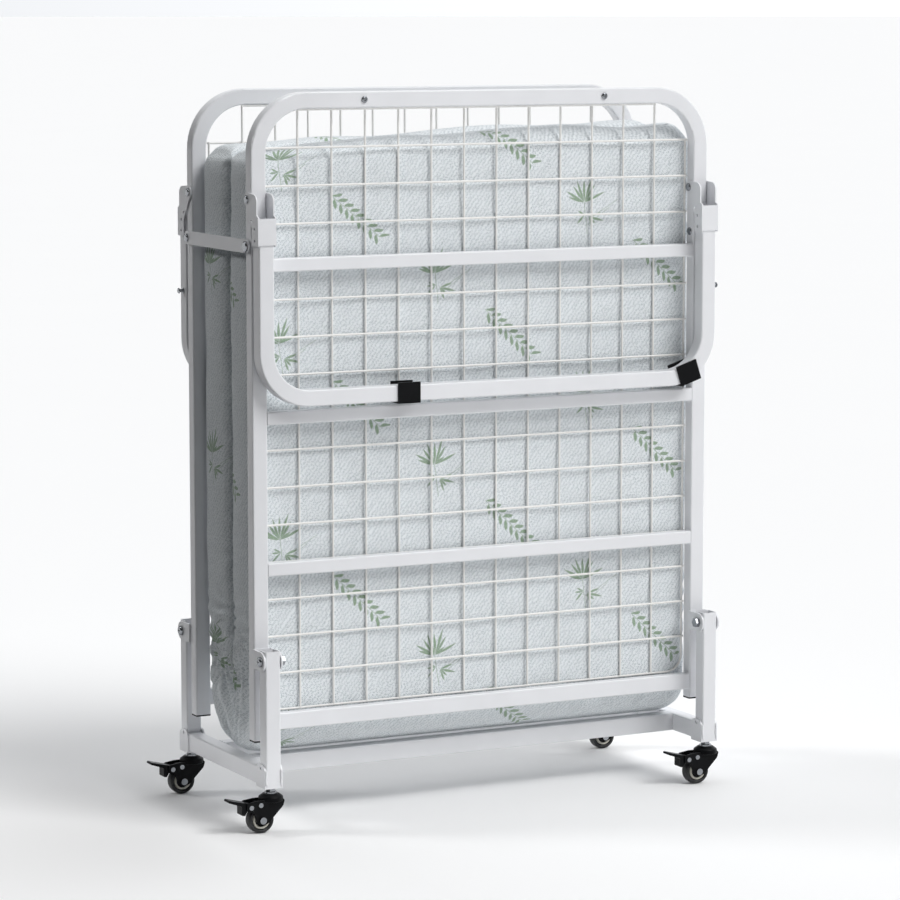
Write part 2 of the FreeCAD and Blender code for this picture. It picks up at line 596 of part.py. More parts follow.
def foot_clips():
    """Plastic clips under the leg's bar: one straight, the other slipped round the bend."""
    half = CLIP_WIDTH / 2
    front_out = LEG_OUTER_OUT + CLIP_SHEET
    rear_out = LEG_INNER_OUT - CLIP_REAR_SHEET
    clip_top = LEG_BAR_Z + DECK_TUBE_WIDTH + CLIP_RISE
    blank = box((-half, -front_out, LEG_BAR_Z - CLIP_SHEET), (half, -rear_out, clip_top))
    clip = blank.cut(box((-half, -LEG_OUTER_OUT, LEG_BAR_Z), (half, -LEG_INNER_OUT, clip_top)))
    straight = clip.copy()
    straight.translate(FreeCAD.Vector(CLIP_OFFSET, 0, 0))
    slipped = clip.copy()
    slipped.translate(FreeCAD.Vector(CLIP_SLIDE, 0, 0))
    bend_centre = FreeCAD.Vector(0, 0, LEG_BAR_Z + LEG_BEND)
    slipped.rotate(bend_centre, FreeCAD.Vector(0, 1, 0), -CLIP_TILT)
    slipped.translate(FreeCAD.Vector(FRAME_WIDTH / 2 - LEG_BEND, 0, 0))
    return Part.makeCompound([straight, slipped])


def leg_stud():
    """Short headed stud on the outer side of the leg's right tube."""
    face = FRAME_WIDTH / 2
    out = (LEG_INNER_OUT + LEG_OUTER_OUT) / 2
    z = LEG_PIVOT_Z - STUD_BELOW_PIVOT
    shank = x_cylinder(face, face + STUD_REACH, out, z, STUD_RADIUS)
    collar = x_cylinder(face, face + 1.5, out, z, STUD_RADIUS + 1.6)
    head = x_head(face + STUD_REACH, out, z, STUD_RADIUS + 1.6, 2.0, 1)
    return shank.multiFuse([collar, head]).removeSplitter()


def mattress_half():
    """One mattress layer, cut round the deck bolts so that it never passes the middle plane."""
    outside = DECK_FACE_OUT - CROSS_TUBE_DEPTH - 4 * WIRE_RADIUS + WIRE_BITE - MATTRESS_CLEARANCE
    top = TOP_TUBE_LOW_Z - MATTRESS_TOP_DROP
    low = BASE_TOP_Z + MATTRESS_CLEARANCE
    layer = outline([(outside, top, MATTRESS_TOP_ROUND), (MIDDLE_GAP, top, MATTRESS_TOP_ROUND),
                     (MIDDLE_GAP, low, 0), (outside, low, MATTRESS_BEND_ROUND)],
                    in_yz(-MATTRESS_WIDTH / 2))
    layer = layer.extrude(FreeCAD.Vector(MATTRESS_WIDTH, 0, 0))
    reach = PIVOT_OUT - MIDDLE_GAP
    swing = x_cylinder(-MATTRESS_WIDTH, MATTRESS_WIDTH, PIVOT_OUT, PIVOT_HEIGHT, reach)
    above = box((-MATTRESS_WIDTH, -PIVOT_OUT, PIVOT_HEIGHT), (MATTRESS_WIDTH, 0, top + 1))
    moving = layer.common(swing.fuse(above))
    return moving, layer.cut(moving)


def fork_cheek():
    """Tapered side of a caster's housing, from the dome down to the axle."""
    axle_x = -CASTER_TRAIL
    corners = [(DOME_RADIUS - 1, DOME_BASE + 4, 3), (DOME_RADIUS - 4, BRIDGE_BASE - 3, 8),
               (axle_x + 9, WHEEL_RADIUS - 5, 5), (axle_x - 1, WHEEL_RADIUS - 8, 5),
               (axle_x - 10, WHEEL_RADIUS - 2, 6),
               (PEDAL_PIVOT[0] + 4, PEDAL_PIVOT[1] - 8, 4),
               (PEDAL_PIVOT[0] - 7, PEDAL_PIVOT[1] - 6, 4),
               (PEDAL_PIVOT[0] - 7, PEDAL_PIVOT[1] + 7, 5),
               (PEDAL_PIVOT[0] + 12, DOME_BASE + 4, 6)]
    inner = WHEEL_WIDTH / 2 + FORK_GAP
    return outline(corners, in_xz(inner)).extrude(FreeCAD.Vector(0, FORK_SHEET, 0))


def caster_housing():
    """Dome on the stem, a bridge over the wheel and a cheek on each side of it."""
    inner = WHEEL_WIDTH / 2 + FORK_GAP
    outer = inner + FORK_SHEET
    cheek = fork_cheek()
    other = cheek.mirror(ORIGIN, FreeCAD.Vector(0, 1, 0))
    dome_profile = outline([(0, DOME_BASE, 0), (DOME_RADIUS, DOME_BASE, 1.5),
                            (DOME_RADIUS - 1, DOME_BASE + 7, 2.5), (12, DOME_TOP, 2),
                            (0, DOME_TOP, 0)], in_xz(0))
    dome = dome_profile.revolve(ORIGIN, UP, 360)
    bridge = box((PEDAL_PIVOT[0] + 10, -outer, BRIDGE_BASE),
                 (DOME_RADIUS * 0.6, outer, DOME_BASE + 1))
    body = dome.multiFuse([bridge, cheek, other]).removeSplitter()
    stem_bore = Part.makeCylinder(STEM_RADIUS + PIN_CLEARANCE, DOME_TOP)
    pocket = Part.makeCylinder(STEM_RADIUS + 3.6, DOME_BASE)
    holes = [stem_bore, pocket]
    for (x, z), radius in (((-CASTER_TRAIL, WHEEL_RADIUS), AXLE_RADIUS),
                           (PEDAL_PIVOT, PEDAL_RIVET_RADIUS), (FORK_RIVET, PEDAL_RIVET_RADIUS)):
        holes.append(y_cylinder(-outer - 1, outer + 1, x, z, radius + HOLE_CLEARANCE))
    return body.cut(Part.makeCompound(holes[2:])).cut(holes[0]).cut(holes[1])


def caster_pins():
    """Axle bolt and the two rivets of one caster."""
    outer = WHEEL_WIDTH / 2 + FORK_GAP + FORK_SHEET
    pins = []
    for (x, z), radius, head, height in (((-CASTER_TRAIL, WHEEL_RADIUS), AXLE_RADIUS, 5.2, 3.2),
                                         (PEDAL_PIVOT, PEDAL_RIVET_RADIUS, 3.6, 1.4),
                                         (FORK_RIVET, PEDAL_RIVET_RADIUS, 3.6, 1.4)):
        shank = y_cylinder(-outer, outer, x, z, radius)
        near = y_cylinder(-outer - height, -outer, x, z, head)
        far = y_cylinder(outer, outer + height, x, z, head)
        pins.append(shank.multiFuse([near, far]).removeSplitter())
    return Part.makeCompound(pins)


def wheel_hub():
    """Hub with a boss on each side, turning on the axle bolt."""
    half = WHEEL_WIDTH / 2
    boss = half + FORK_GAP - SIDE_CLEARANCE
    disc = y_cylinder(-half + 1.5, half - 1.5, -CASTER_TRAIL, WHEEL_RADIUS, HUB_RADIUS)
    core = y_cylinder(-boss, boss, -CASTER_TRAIL, WHEEL_RADIUS, 6.0)
    bore = y_cylinder(-boss, boss, -CASTER_TRAIL, WHEEL_RADIUS, AXLE_RADIUS + PIN_CLEARANCE)
    return disc.fuse(core).cut(bore)


def wheel_tyre():
    """Rubber ring on the hub, with rounded shoulders."""
    half = WHEEL_WIDTH / 2
    profile = outline([(HUB_RADIUS, -half, 0), (WHEEL_RADIUS, -half, 4), (WHEEL_RADIUS, half, 4),
                       (HUB_RADIUS, half, 0)],
                      lambda r, y: FreeCAD.Vector(r - CASTER_TRAIL, y, WHEEL_RADIUS))
    axle = FreeCAD.Vector(-CASTER_TRAIL, 0, WHEEL_RADIUS)
    return profile.revolve(axle, FreeCAD.Vector(0, 1, 0), 360)


def brake_pedal():
    """Pedal on its barrel, with a flat toe plate and a tooth that drops onto the tyre."""
    x, z = PEDAL_PIVOT
    half = WHEEL_WIDTH / 2 + FORK_GAP - SIDE_CLEARANCE
    barrel = y_cylinder(-half, half, x, z, PEDAL_BARREL)
    arm = outline([(x + 3, z + 4.5, 0), (x - 12, z + 8, 4), (x - 34, z + 13.5, 1.5),
                   (x - 35, z + 10, 1.5), (x - 14, z + 3, 3), (x - 14, z - 11, 1.5),
                   (x - 9, z - 11.5, 1.5), (x - 4, z - 3, 0)], in_xz(-half))
    arm = arm.extrude(FreeCAD.Vector(0, 2 * half, 0))
    bore = y_cylinder(-half, half, x, z, PEDAL_RIVET_RADIUS + PIN_CLEARANCE)
    return barrel.fuse(arm).removeSplitter().cut(bore)


def caster_stem():
    """Kingpin with its lower head, washer and nuts, at the front left post."""
    nut = NUT_FLATS / math.sqrt(3)
    washer_base = DOME_TOP + SIDE_CLEARANCE
    nut_base = washer_base + 2.0
    pin_top = BASE_HEIGHT + 16.0
    head_base = BRIDGE_BASE + 0.5
    head_top = DOME_BASE - SIDE_CLEARANCE
    low_z = BASE_HEIGHT - CORNER_SHEET
    blank = [(nut * math.cos(math.radians(60 * k)), nut * math.sin(math.radians(60 * k)), 0)
             for k in range(6)]
    lower_nut = outline(blank, lambda x, y: FreeCAD.Vector(x, y, nut_base))
    stem = Part.makeCylinder(STEM_RADIUS, pin_top - head_base, FreeCAD.Vector(0, 0, head_base))
    stem = stem.multiFuse([
        Part.makeCylinder(STEM_RADIUS + 2.5, head_top - head_base, FreeCAD.Vector(0, 0, head_base)),
        Part.makeCylinder(STEM_RADIUS + 5.5, nut_base - washer_base,
                          FreeCAD.Vector(0, 0, washer_base)),
        lower_nut.extrude(UP * (low_z - nut_base))])
    stem = stem.removeSplitter()
    stem.translate(FreeCAD.Vector(-SIDE_X, -PIVOT_OUT, 0))
    return stem


def casters():
    """Four casters, all trailing the same way, each with five pieces."""
    pieces = (("housing", caster_housing()), ("pins", caster_pins()), ("hub", wheel_hub()),
              ("tyre", wheel_tyre()), ("pedal", brake_pedal()))
    for end, y in (("front", -PIVOT_OUT), ("rear", PIVOT_OUT)):
        for side, sign in SIDES:
            for name, shape in pieces:
                placed = shape.copy()
                placed.translate(FreeCAD.Vector(sign * SIDE_X, y, 0))
                save(f"caster_{end}_{side}_{name}", placed)


def main():
    os.makedirs("parts", exist_ok=True)
    base_frame()
    save("corner_brackets", four_corners(corner_bracket()))
    save("deck_bolts", four_corners(deck_bolt()))
    save("deck_nuts", four_corners(deck_nut()))
    save("caster_stems", four_corners(caster_stem()))
    both_halves("deck_bow", deck_bow())
    both_halves("cross_tubes", cross_tubes())
    both_halves("wire_grid", wire_grid())
    both_halves("end_caps", end_caps())
    both_halves("clevises", clevises())
    both_halves("bow_screws", bow_screws())
    both_halves("deck_rivets", deck_rivets())
    both_halves("leg_tube", leg_tube())
    both_halves("leg_brackets", leg_brackets())
    both_halves("foot_clips", foot_clips())
    both_halves("leg_stud", leg_stud())
    layer, fold = mattress_half()
    both_halves("mattress", layer)
    both_halves("mattress_fold", fold)
    right_strap = strap()
    save("strap_right", right_strap)
    left_strap = right_strap.copy()
    left_strap.rotate(ORIGIN, UP, 180)
    save("strap_left", left_strap)
    casters()


main()
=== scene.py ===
import json
import math

import bmesh
import bpy
import numpy as np
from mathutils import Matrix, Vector


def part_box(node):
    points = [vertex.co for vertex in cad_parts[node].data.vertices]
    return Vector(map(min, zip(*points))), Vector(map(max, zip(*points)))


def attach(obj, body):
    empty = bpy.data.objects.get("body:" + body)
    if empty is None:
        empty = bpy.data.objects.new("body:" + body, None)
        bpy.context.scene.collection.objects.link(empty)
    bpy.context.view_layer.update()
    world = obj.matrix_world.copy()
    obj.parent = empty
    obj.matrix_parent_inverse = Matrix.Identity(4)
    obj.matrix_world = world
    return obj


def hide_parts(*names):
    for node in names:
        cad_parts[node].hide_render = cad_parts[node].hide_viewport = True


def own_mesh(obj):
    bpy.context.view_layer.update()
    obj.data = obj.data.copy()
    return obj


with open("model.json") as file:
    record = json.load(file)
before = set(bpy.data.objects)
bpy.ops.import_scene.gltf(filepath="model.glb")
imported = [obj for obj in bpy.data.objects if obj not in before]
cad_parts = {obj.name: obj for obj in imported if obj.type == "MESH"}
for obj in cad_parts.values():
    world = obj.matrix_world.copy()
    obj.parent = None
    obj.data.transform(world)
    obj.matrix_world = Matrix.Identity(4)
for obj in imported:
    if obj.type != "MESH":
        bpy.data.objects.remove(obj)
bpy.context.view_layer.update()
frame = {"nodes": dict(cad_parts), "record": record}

bl_info = {
    "name": "Folding cot looks",
    "version": (1, 0, 0),
    "blender": (4, 5, 0),
    "location": "3D View > Sidebar > Folding Cot",
    "description": "Mattress, wheels, weld beads and finishes of a folding guest bed",
    "category": "Object",
}

MM = 0.001
HALVES = (("front", 1), ("rear", -1))
CASTERS = [f"caster_{end}_{side}" for end in ("front", "rear") for side in ("left", "right")]


def linear(hex_colour):
    """An sRGB hex colour as the linear RGB that shaders take."""
    shares = [int(hex_colour[i:i + 2], 16) / 255 for i in (1, 3, 5)]
    return tuple(s / 12.92 if s <= 0.04045 else ((s + 0.055) / 1.055) ** 2.4 for s in shares)


def colour(name, description, hex_colour):
    """A colour that a user may change."""
    return bpy.props.FloatVectorProperty(
        name=name, description=description, subtype="COLOR", size=3, min=0, max=1,
        default=linear(hex_colour))


def length(name, description, millimetres):
    """A length that a user may change."""
    return bpy.props.FloatProperty(
        name=name, description=description, default=millimetres * MM, unit="LENGTH", precision=4)


# ---------------------------------------------------------------- settings

class CotMattressSettings(bpy.types.PropertyGroup):
    bend_round: length("Bend round", "Outside radius where the front layer folds at its foot", 72)
    rear_rise: length("Rear rise", "Height over which the rear layer leaves its grid to fold", 200)
    top_round: length("End round", "Radius of the padded edge at the head and foot ends", 25)
    side_round: length("Side round", "Radius of the padded long edges", 20)
    crown: length("Crown", "How far the long sides and the end swell between their edges", 8)
    unevenness: length("Unevenness", "Slow hills and hollows in the faces", 1.3)
    gathers: length("Gathers", "Depth of the folds where the cover is bunched at the bend", 9.5)
    pucker: length("Pucker", "Height of the small tucks along the crease between the layers", 0.9)
    bend_rise: length("Bend rise", "How far the foot draws up when the bed is opened", 13.5)
    droop: length("Droop", "How much lower the ends stand at the bed's left", 22)
    cloth: colour("Cloth", "Knitted cover", "#EEF3F6")
    # Painted shade: the grey painted into the sunken stitches stands in for the shade inside them.
    dash: colour("Dashes", "Sunken stitches of the knit", "#A9B5BA")
    leaf: colour("Leaves", "Printed leaves", "#7E9B77")


class CotWheelSettings(bpy.types.PropertyGroup):
    rubber: colour("Tread", "Soft tread", "#17181A")
    ring: colour("Ring", "Pale ring inside the tread", "#D8D5C9")
    centre: colour("Centre", "Moulded wheel centre", "#232528")
    tread_height: length("Tread height", "Radial height of the tread", 6.2)
    ring_height: length("Ring height", "Radial height of the pale ring", 4.4)


class CotFinishSettings(bpy.types.PropertyGroup):
    paint: colour("Paint", "Powder coat of the frame", "#ECEDF0")
    wire: colour("Wire paint", "Coat of the welded wire", "#F0EFEC")
    zinc: colour("Plating", "Zinc plated screws, rivets and stems", "#9A9DA1")
    plastic: colour("Plastic", "Black moulded parts", "#0B0C0E")
    bead_radius: length("Weld bead", "Radius of a weld bead", 1.9)
    bead_pitch: length("Weld ripple", "Spacing of a bead's ripples", 1.7)


class CotStageSettings(bpy.types.PropertyGroup):
    azimuth: bpy.props.FloatProperty(
        name="Azimuth", description="Camera's side of the bed", subtype="ANGLE",
        default=math.radians(-26.99))
    elevation: bpy.props.FloatProperty(
        name="Elevation", description="Camera's height as an angle", subtype="ANGLE",
        default=math.radians(7.185))
    distance: length("Distance", "Camera to the point that it looks at", 5544.6)
    aim_height: length("Aim height", "Height of the point that it looks at", 526.5)
    lens: bpy.props.FloatProperty(
        name="Lens", description="Focal length for a 36 mm sensor", default=144.6,
        unit="CAMERA")
    floor: colour("Floor", "Pale studio floor", "#F8F8F8")
    key_strength: bpy.props.FloatProperty(
        name="Key strength", description="Strength of the large soft light", default=2.05, min=0)
    ambient: bpy.props.FloatProperty(
        name="Ambient", description="Light from the dark side of the studio", default=0.02, min=0)
    side_strength: bpy.props.FloatProperty(
        name="Side strength", description="Strength of the light that grazes the left side",
        default=0.8, min=0)


# ---------------------------------------------------------------- meshes

def lattice_faces(rows, columns, wrap_rows, wrap_columns):
    """Corner numbers of a grid's quads, each from row i and column k to i, k + 1, then to
    i + 1, k + 1, then to i + 1, k."""
    i = np.arange(rows if wrap_rows else rows - 1)[:, None]
    k = np.arange(columns if wrap_columns else columns - 1)[None, :]
    next_i, next_k = (i + 1) % rows, (k + 1) % columns
    corners = [i * columns + k, i * columns + next_k,
               next_i * columns + next_k, next_i * columns + k]
    return np.stack(np.broadcast_arrays(*corners), -1).reshape(-1, 4)


def signed_volume(points, faces):
    """Volume inside the quads by the divergence theorem, negative where they point inwards."""
    a, b, c, d = (points[faces[:, i]] for i in range(4))
    return float(np.einsum("ij,ij->", a, np.cross(b, c) + np.cross(c, d))) / 6


def new_piece(name, points, faces, uvs=None, merge=0.0, smooth_angle=None):
    """A mesh object at the origin from whole arrays, with its faces turned outwards."""
    if signed_volume(points, faces) < 0:
        faces = faces[:, ::-1]
        uvs = None if uvs is None else uvs[:, ::-1]
    mesh = bpy.data.meshes.new(name)
    mesh.from_pydata(points.tolist(), [], faces.tolist())
    if uvs is not None:
        layer = mesh.uv_layers.new(name="Cover")
        layer.data.foreach_set("uv", np.ascontiguousarray(uvs, np.float32).ravel())
    if merge:
        work = bmesh.new()
        work.from_mesh(mesh)
        bmesh.ops.remove_doubles(work, verts=work.verts, dist=merge)
        work.to_mesh(mesh)
        work.free()
    mesh.polygons.foreach_set("use_smooth", np.ones(len(mesh.polygons), bool))
    if smooth_angle is not None:
        mesh.set_sharp_from_angle(angle=smooth_angle)
    mesh.update()
    mesh.validate()
    piece = bpy.data.objects.new(name, mesh)
    bpy.context.scene.collection.objects.link(piece)
    return piece


def joined(parts):
    """Several (points, faces) as one pair."""
    offsets = np.cumsum([0] + [len(p) for p, _ in parts[:-1]])
    faces = [f + offset for (_, f), offset in zip(parts, offsets)]
    return np.concatenate([p for p, _ in parts]), np.concatenate(faces)


def ramp(x, low, high):
    """0 below low, 1 above high, and 3t^2 - 2t^3 between them."""
    t = np.clip((x - low) / (high - low), 0, 1)
    return t * t * (3 - 2 * t)


def hills(a, b, wavelength, seed):
    """Slow random hills from -1 to 1: the mean of twelve sine waves, each with its own
    direction, phase and a wavelength from 0.6 to 1.5 times the given one."""
    rng = np.random.default_rng(seed)
    total = np.zeros(np.broadcast(a, b).shape)
    count = 12
    directions = rng.uniform(0, math.tau, count)
    phases = rng.uniform(0, math.tau, count)
    stretches = rng.uniform(0.6, 1.5, count)
    for direction, phase, stretch in zip(directions, phases, stretches):
        along = a * math.cos(direction) + b * math.sin(direction)
        total += np.sin(math.tau * along / (wavelength * stretch) + phase)
    return total / math.sqrt(count)


# ---------------------------------------------------------------- materials

def add(tree, kind, settings=None, inputs=None):
    """Add one node, set its properties, and give each named input a value or another node's output."""
    node = tree.nodes.new(kind)
    for key, value in (settings or {}).items():
        setattr(node, key, value)
    for key, value in (inputs or {}).items():
        if isinstance(value, bpy.types.NodeSocket):
            tree.links.new(value, node.inputs[key])
        else:
            node.inputs[key].default_value = value
    return node


def material(name):
    """An empty material's node tree, with its Principled shader."""
    made = bpy.data.materials.new(name)
    made.use_nodes = True
    shader = made.node_tree.nodes["Principled BSDF"]
    return made, made.node_tree, shader


def rgba(rgb):
    """A colour with full alpha."""
    return (*rgb, 1.0)


def in_millimetres(tree, output="Object"):
    """Object or UV coordinates, counted in millimetres."""
    source = add(tree, "ShaderNodeTexCoord").outputs[output]
    return add(tree, "ShaderNodeMapping", inputs={
        "Vector": source, "Scale": (1000, 1000, 1000)}).outputs[0]


def maths(tree, operation, first, second=0.0, third=None):
    """One Math node's output."""
    inputs = {0: first, 1: second}
    if third is not None:
        inputs[2] = third
    return add(tree, "ShaderNodeMath", {"operation": operation}, inputs).outputs[0]


def dot(tree, x, y, across, up):
    """x times across plus y times up."""
    return maths(tree, "ADD", maths(tree, "MULTIPLY", x, across), maths(tree, "MULTIPLY", y, up))


def cross(tree, x, y, across, up):
    """y times across minus x times up."""
    return maths(tree, "SUBTRACT", maths(tree, "MULTIPLY", y, across),
                 maths(tree, "MULTIPLY", x, up))


def edge_ink(tree, half, aside, soft):
    """1 where aside is well inside half, falling to 0 at half over soft millimetres."""
    return spread(tree, maths(tree, "SUBTRACT", half, aside), 0, soft, 0, 1)


def noise(tree, vector, size, detail=2.0):
    """Noise whose features are about size millimetres across, from 0 to 1."""
    return add(tree, "ShaderNodeTexNoise", inputs={
        "Vector": vector, "Scale": 1 / size, "Detail": detail}).outputs["Fac"]


def spread(tree, value, low, high, to_low, to_high):
    """Value mapped from one span to another, and kept inside it."""
    return add(tree, "ShaderNodeMapRange", inputs={
        "Value": value, "From Min": low, "From Max": high,
        "To Min": to_low, "To Max": to_high}).outputs[0]


def tint(tree, share, low, high):
    """One colour turning into another."""
    mix = add(tree, "ShaderNodeMix", {"data_type": "RGBA"}, {0: share, 6: rgba(low), 7: rgba(high)})
    return mix.outputs[2]


def darker(rgb, share):
    """The colour times a share, which makes it lighter when above 1."""
    return tuple(c * share for c in rgb)


def relief(tree, height, distance, strength=1.0):
    """A bump's normal from a height, whose full swing is distance in metres."""
    return add(tree, "ShaderNodeBump", inputs={
        "Height": height, "Distance": distance, "Strength": strength}).outputs[0]


def powder_coat(name, base, orange_peel):
    """Polyester powder baked on steel tube. It has an even half-gloss white with the faint
    orange peel of powder that flowed in the oven, and slightly duller patches where it lies thin."""
    made, tree, shader = material(name)
    place = in_millimetres(tree)
    cloud = noise(tree, place, 60)
    peel = noise(tree, place, orange_peel, 1.0)
    shader.inputs["IOR"].default_value = 1.5
    shader.inputs["Coat Weight"].default_value = 0.25
    shader.inputs["Coat Roughness"].default_value = 0.22
    tree.links.new(tint(tree, spread(tree, cloud, 0.3, 0.7, 0, 1), darker(base, 0.965), base),
                   shader.inputs["Base Color"])
    tree.links.new(spread(tree, cloud, 0.3, 0.7, 0.34, 0.44), shader.inputs["Roughness"])
    tree.links.new(relief(tree, peel, 0.00006), shader.inputs["Normal"])
    return made


def zinc_plate(name, base):
    """Bright zinc plate on turned and pressed steel. It is a clean bluish metal with fine
    machining haze, which breaks its highlights up."""
    made, tree, shader = material(name)
    place = in_millimetres(tree)
    haze = noise(tree, place, 1.2, 4.0)
    stain = noise(tree, place, 9, 2.0)
    shader.inputs["Metallic"].default_value = 1.0
    tree.links.new(tint(tree, stain, darker(base, 0.82), base), shader.inputs["Base Color"])
    tree.links.new(spread(tree, haze, 0.3, 0.7, 0.12, 0.26), shader.inputs["Roughness"])
    tree.links.new(relief(tree, haze, 0.00002), shader.inputs["Normal"])
    return made


def moulded_nylon(name, base, grain, gloss):
    """Glass-filled nylon from a spark-eroded mould. It is near black with a fine pebble grain,
    and rubbed a little smoother and greyer in places."""
    made, tree, shader = material(name)
    place = in_millimetres(tree)
    pebble = add(tree, "ShaderNodeTexVoronoi", {"feature": "SMOOTH_F1"},
                 {"Vector": place, "Scale": 1 / grain}).outputs["Distance"]
    rubbed = noise(tree, place, 14, 3.0)
    shader.inputs["IOR"].default_value = 1.5
    shader.inputs["Specular IOR Level"].default_value = 0.12
    worn = spread(tree, rubbed, 0.45, 0.75, 0, 1)
    tree.links.new(tint(tree, worn, base, darker(base, 1.5)), shader.inputs["Base Color"])
    tree.links.new(spread(tree, rubbed, 0.3, 0.7, gloss, gloss + 0.12), shader.inputs["Roughness"])
    tree.links.new(relief(tree, pebble, 0.00004), shader.inputs["Normal"])
    return made


def tread_rubber(name, base):
    """Moulded polyurethane tread. It is satin black with a fine grain and grey dust in its pores."""
    made, tree, shader = material(name)
    place = in_millimetres(tree)
    grit = noise(tree, place, 0.8, 3.0)
    dust = noise(tree, place, 7, 4.0)
    shader.inputs["IOR"].default_value = 1.5
    tree.links.new(tint(tree, spread(tree, dust, 0.5, 0.8, 0, 1), base, (0.05, 0.05, 0.05)),
                   shader.inputs["Base Color"])
    tree.links.new(spread(tree, grit, 0.3, 0.7, 0.38, 0.55), shader.inputs["Roughness"])
    tree.links.new(relief(tree, grit, 0.00006), shader.inputs["Normal"])
    return made


def ring_plastic(name, base):
    """Polypropylene ring moulded smooth. It is a warm white with soft gloss and a little grime."""
    made, tree, shader = material(name)
    grime = noise(tree, in_millimetres(tree), 6, 4.0)
    shader.inputs["IOR"].default_value = 1.49
    shader.inputs["Roughness"].default_value = 0.3
    tree.links.new(tint(tree, spread(tree, grime, 0.5, 0.85, 0, 1), base, darker(base, 0.7)),
                   shader.inputs["Base Color"])
    return made


# The print's repeat, in millimetres: columns this far apart, each one this much higher than
# the last, and a repeat up the column.
PRINT_ACROSS = 255.0
PRINT_STEP = 97.0
PRINT_UP = 290.0
SPRIG_AT = (-324.0, 128.0)
TWIG_AT = (-203.0, 37.0)
TWIG_TURN = math.radians(-42)


def repeat_place(tree, across, up, at):
    """A point's (x, y) from the middle of its nearest motif on the staggered repeat."""
    x = maths(tree, "SUBTRACT", across, at[0])
    y = maths(tree, "SUBTRACT", up, at[1])
    column = maths(tree, "ROUND", maths(tree, "DIVIDE", x, PRINT_ACROSS))
    local_x = maths(tree, "MULTIPLY_ADD", column, -PRINT_ACROSS, x)
    shifted = maths(tree, "MULTIPLY_ADD", column, -PRINT_STEP, y)
    row = maths(tree, "ROUND", maths(tree, "DIVIDE", shifted, PRINT_UP))
    return local_x, maths(tree, "MULTIPLY_ADD", row, -PRINT_UP, shifted)


def leaf_fan(tree, x, y, centre, first, last, count, reach, width, seed):
    """Share of ink of narrow leaves fanned round a centre. The angle about the centre is cut into
    count equal slices from first to last, and each slice holds one leaf of random length, whose
    half width is the sine of how far along it the point is."""
    dx = maths(tree, "SUBTRACT", x, centre[0])
    dy = maths(tree, "SUBTRACT", y, centre[1])
    far = maths(tree, "SQRT", dot(tree, dx, dy, dx, dy))
    middle = (first + last) / 2
    turned_x = dot(tree, dx, dy, math.cos(middle), math.sin(middle))
    turned_y = cross(tree, dx, dy, math.cos(middle), math.sin(middle))
    angle = maths(tree, "ARCTAN2", turned_y, turned_x)
    slices = count / (last - first)
    place = maths(tree, "MULTIPLY_ADD", angle, slices, count / 2)
    number = maths(tree, "FLOOR", place)
    inside = maths(tree, "MULTIPLY", maths(tree, "GREATER_THAN", number, -0.5),
                   maths(tree, "LESS_THAN", number, count - 0.5))
    luck = add(tree, "ShaderNodeTexWhiteNoise", {"noise_dimensions": "1D"},
               {"W": maths(tree, "ADD", number, seed)})
    leaf_length = spread(tree, luck.outputs["Value"], 0, 1, reach * 0.45, reach)
    other = add(tree, "ShaderNodeTexWhiteNoise", {"noise_dimensions": "1D"},
                {"W": maths(tree, "ADD", number, seed + 40)})
    lean = spread(tree, other.outputs["Value"], 0, 1, -0.3, 0.3)
    off = maths(tree, "SUBTRACT", maths(tree, "SUBTRACT", maths(tree, "FRACT", place), 0.5), lean)
    aside = maths(tree, "MULTIPLY", maths(tree, "ABSOLUTE", off), maths(tree, "DIVIDE", far, slices))
    along = maths(tree, "MINIMUM", maths(tree, "DIVIDE", far, leaf_length), 1.0)
    half = maths(tree, "MULTIPLY", maths(tree, "SINE", maths(tree, "MULTIPLY", along, math.pi)), width)
    return maths(tree, "MULTIPLY", inside, edge_ink(tree, half, aside, 0.5))


def line_ink(tree, x, y, start, end, width):
    """Share of ink of a thin straight stem between two points."""
    run = (end[0] - start[0], end[1] - start[1])
    size = math.hypot(*run)
    unit = (run[0] / size, run[1] / size)
    dx, dy = maths(tree, "SUBTRACT", x, start[0]), maths(tree, "SUBTRACT", y, start[1])
    along = dot(tree, dx, dy, *unit)
    aside = maths(tree, "ABSOLUTE", cross(tree, dx, dy, *unit))
    inside = maths(tree, "MULTIPLY", maths(tree, "GREATER_THAN", along, 0),
                   maths(tree, "LESS_THAN", along, size))
    return maths(tree, "MULTIPLY", inside, edge_ink(tree, width / 2, aside, 0.4))


def sprig_ink(tree, across, up):
    """A leafy sprig: a wide fan of long leaves, a small fan under it, a stem and two fine twigs."""
    x, y = repeat_place(tree, across, up, SPRIG_AT)
    parts = [
        leaf_fan(tree, x, y, (-4, 4), math.radians(10), math.radians(175), 9, 46, 2.3, 3),
        leaf_fan(tree, x, y, (4, -18), math.radians(-75), math.radians(25), 4, 32, 2.1, 11),
        leaf_fan(tree, x, y, (-2, -14), math.radians(150), math.radians(235), 3, 24, 1.9, 23),
        line_ink(tree, x, y, (-4, 4), (2, -44), 1.1),
        line_ink(tree, x, y, (3, -22), (56, 8), 0.9),
        line_ink(tree, x, y, (3, -30), (40, -4), 0.9),
    ]
    return strongest(tree, parts)


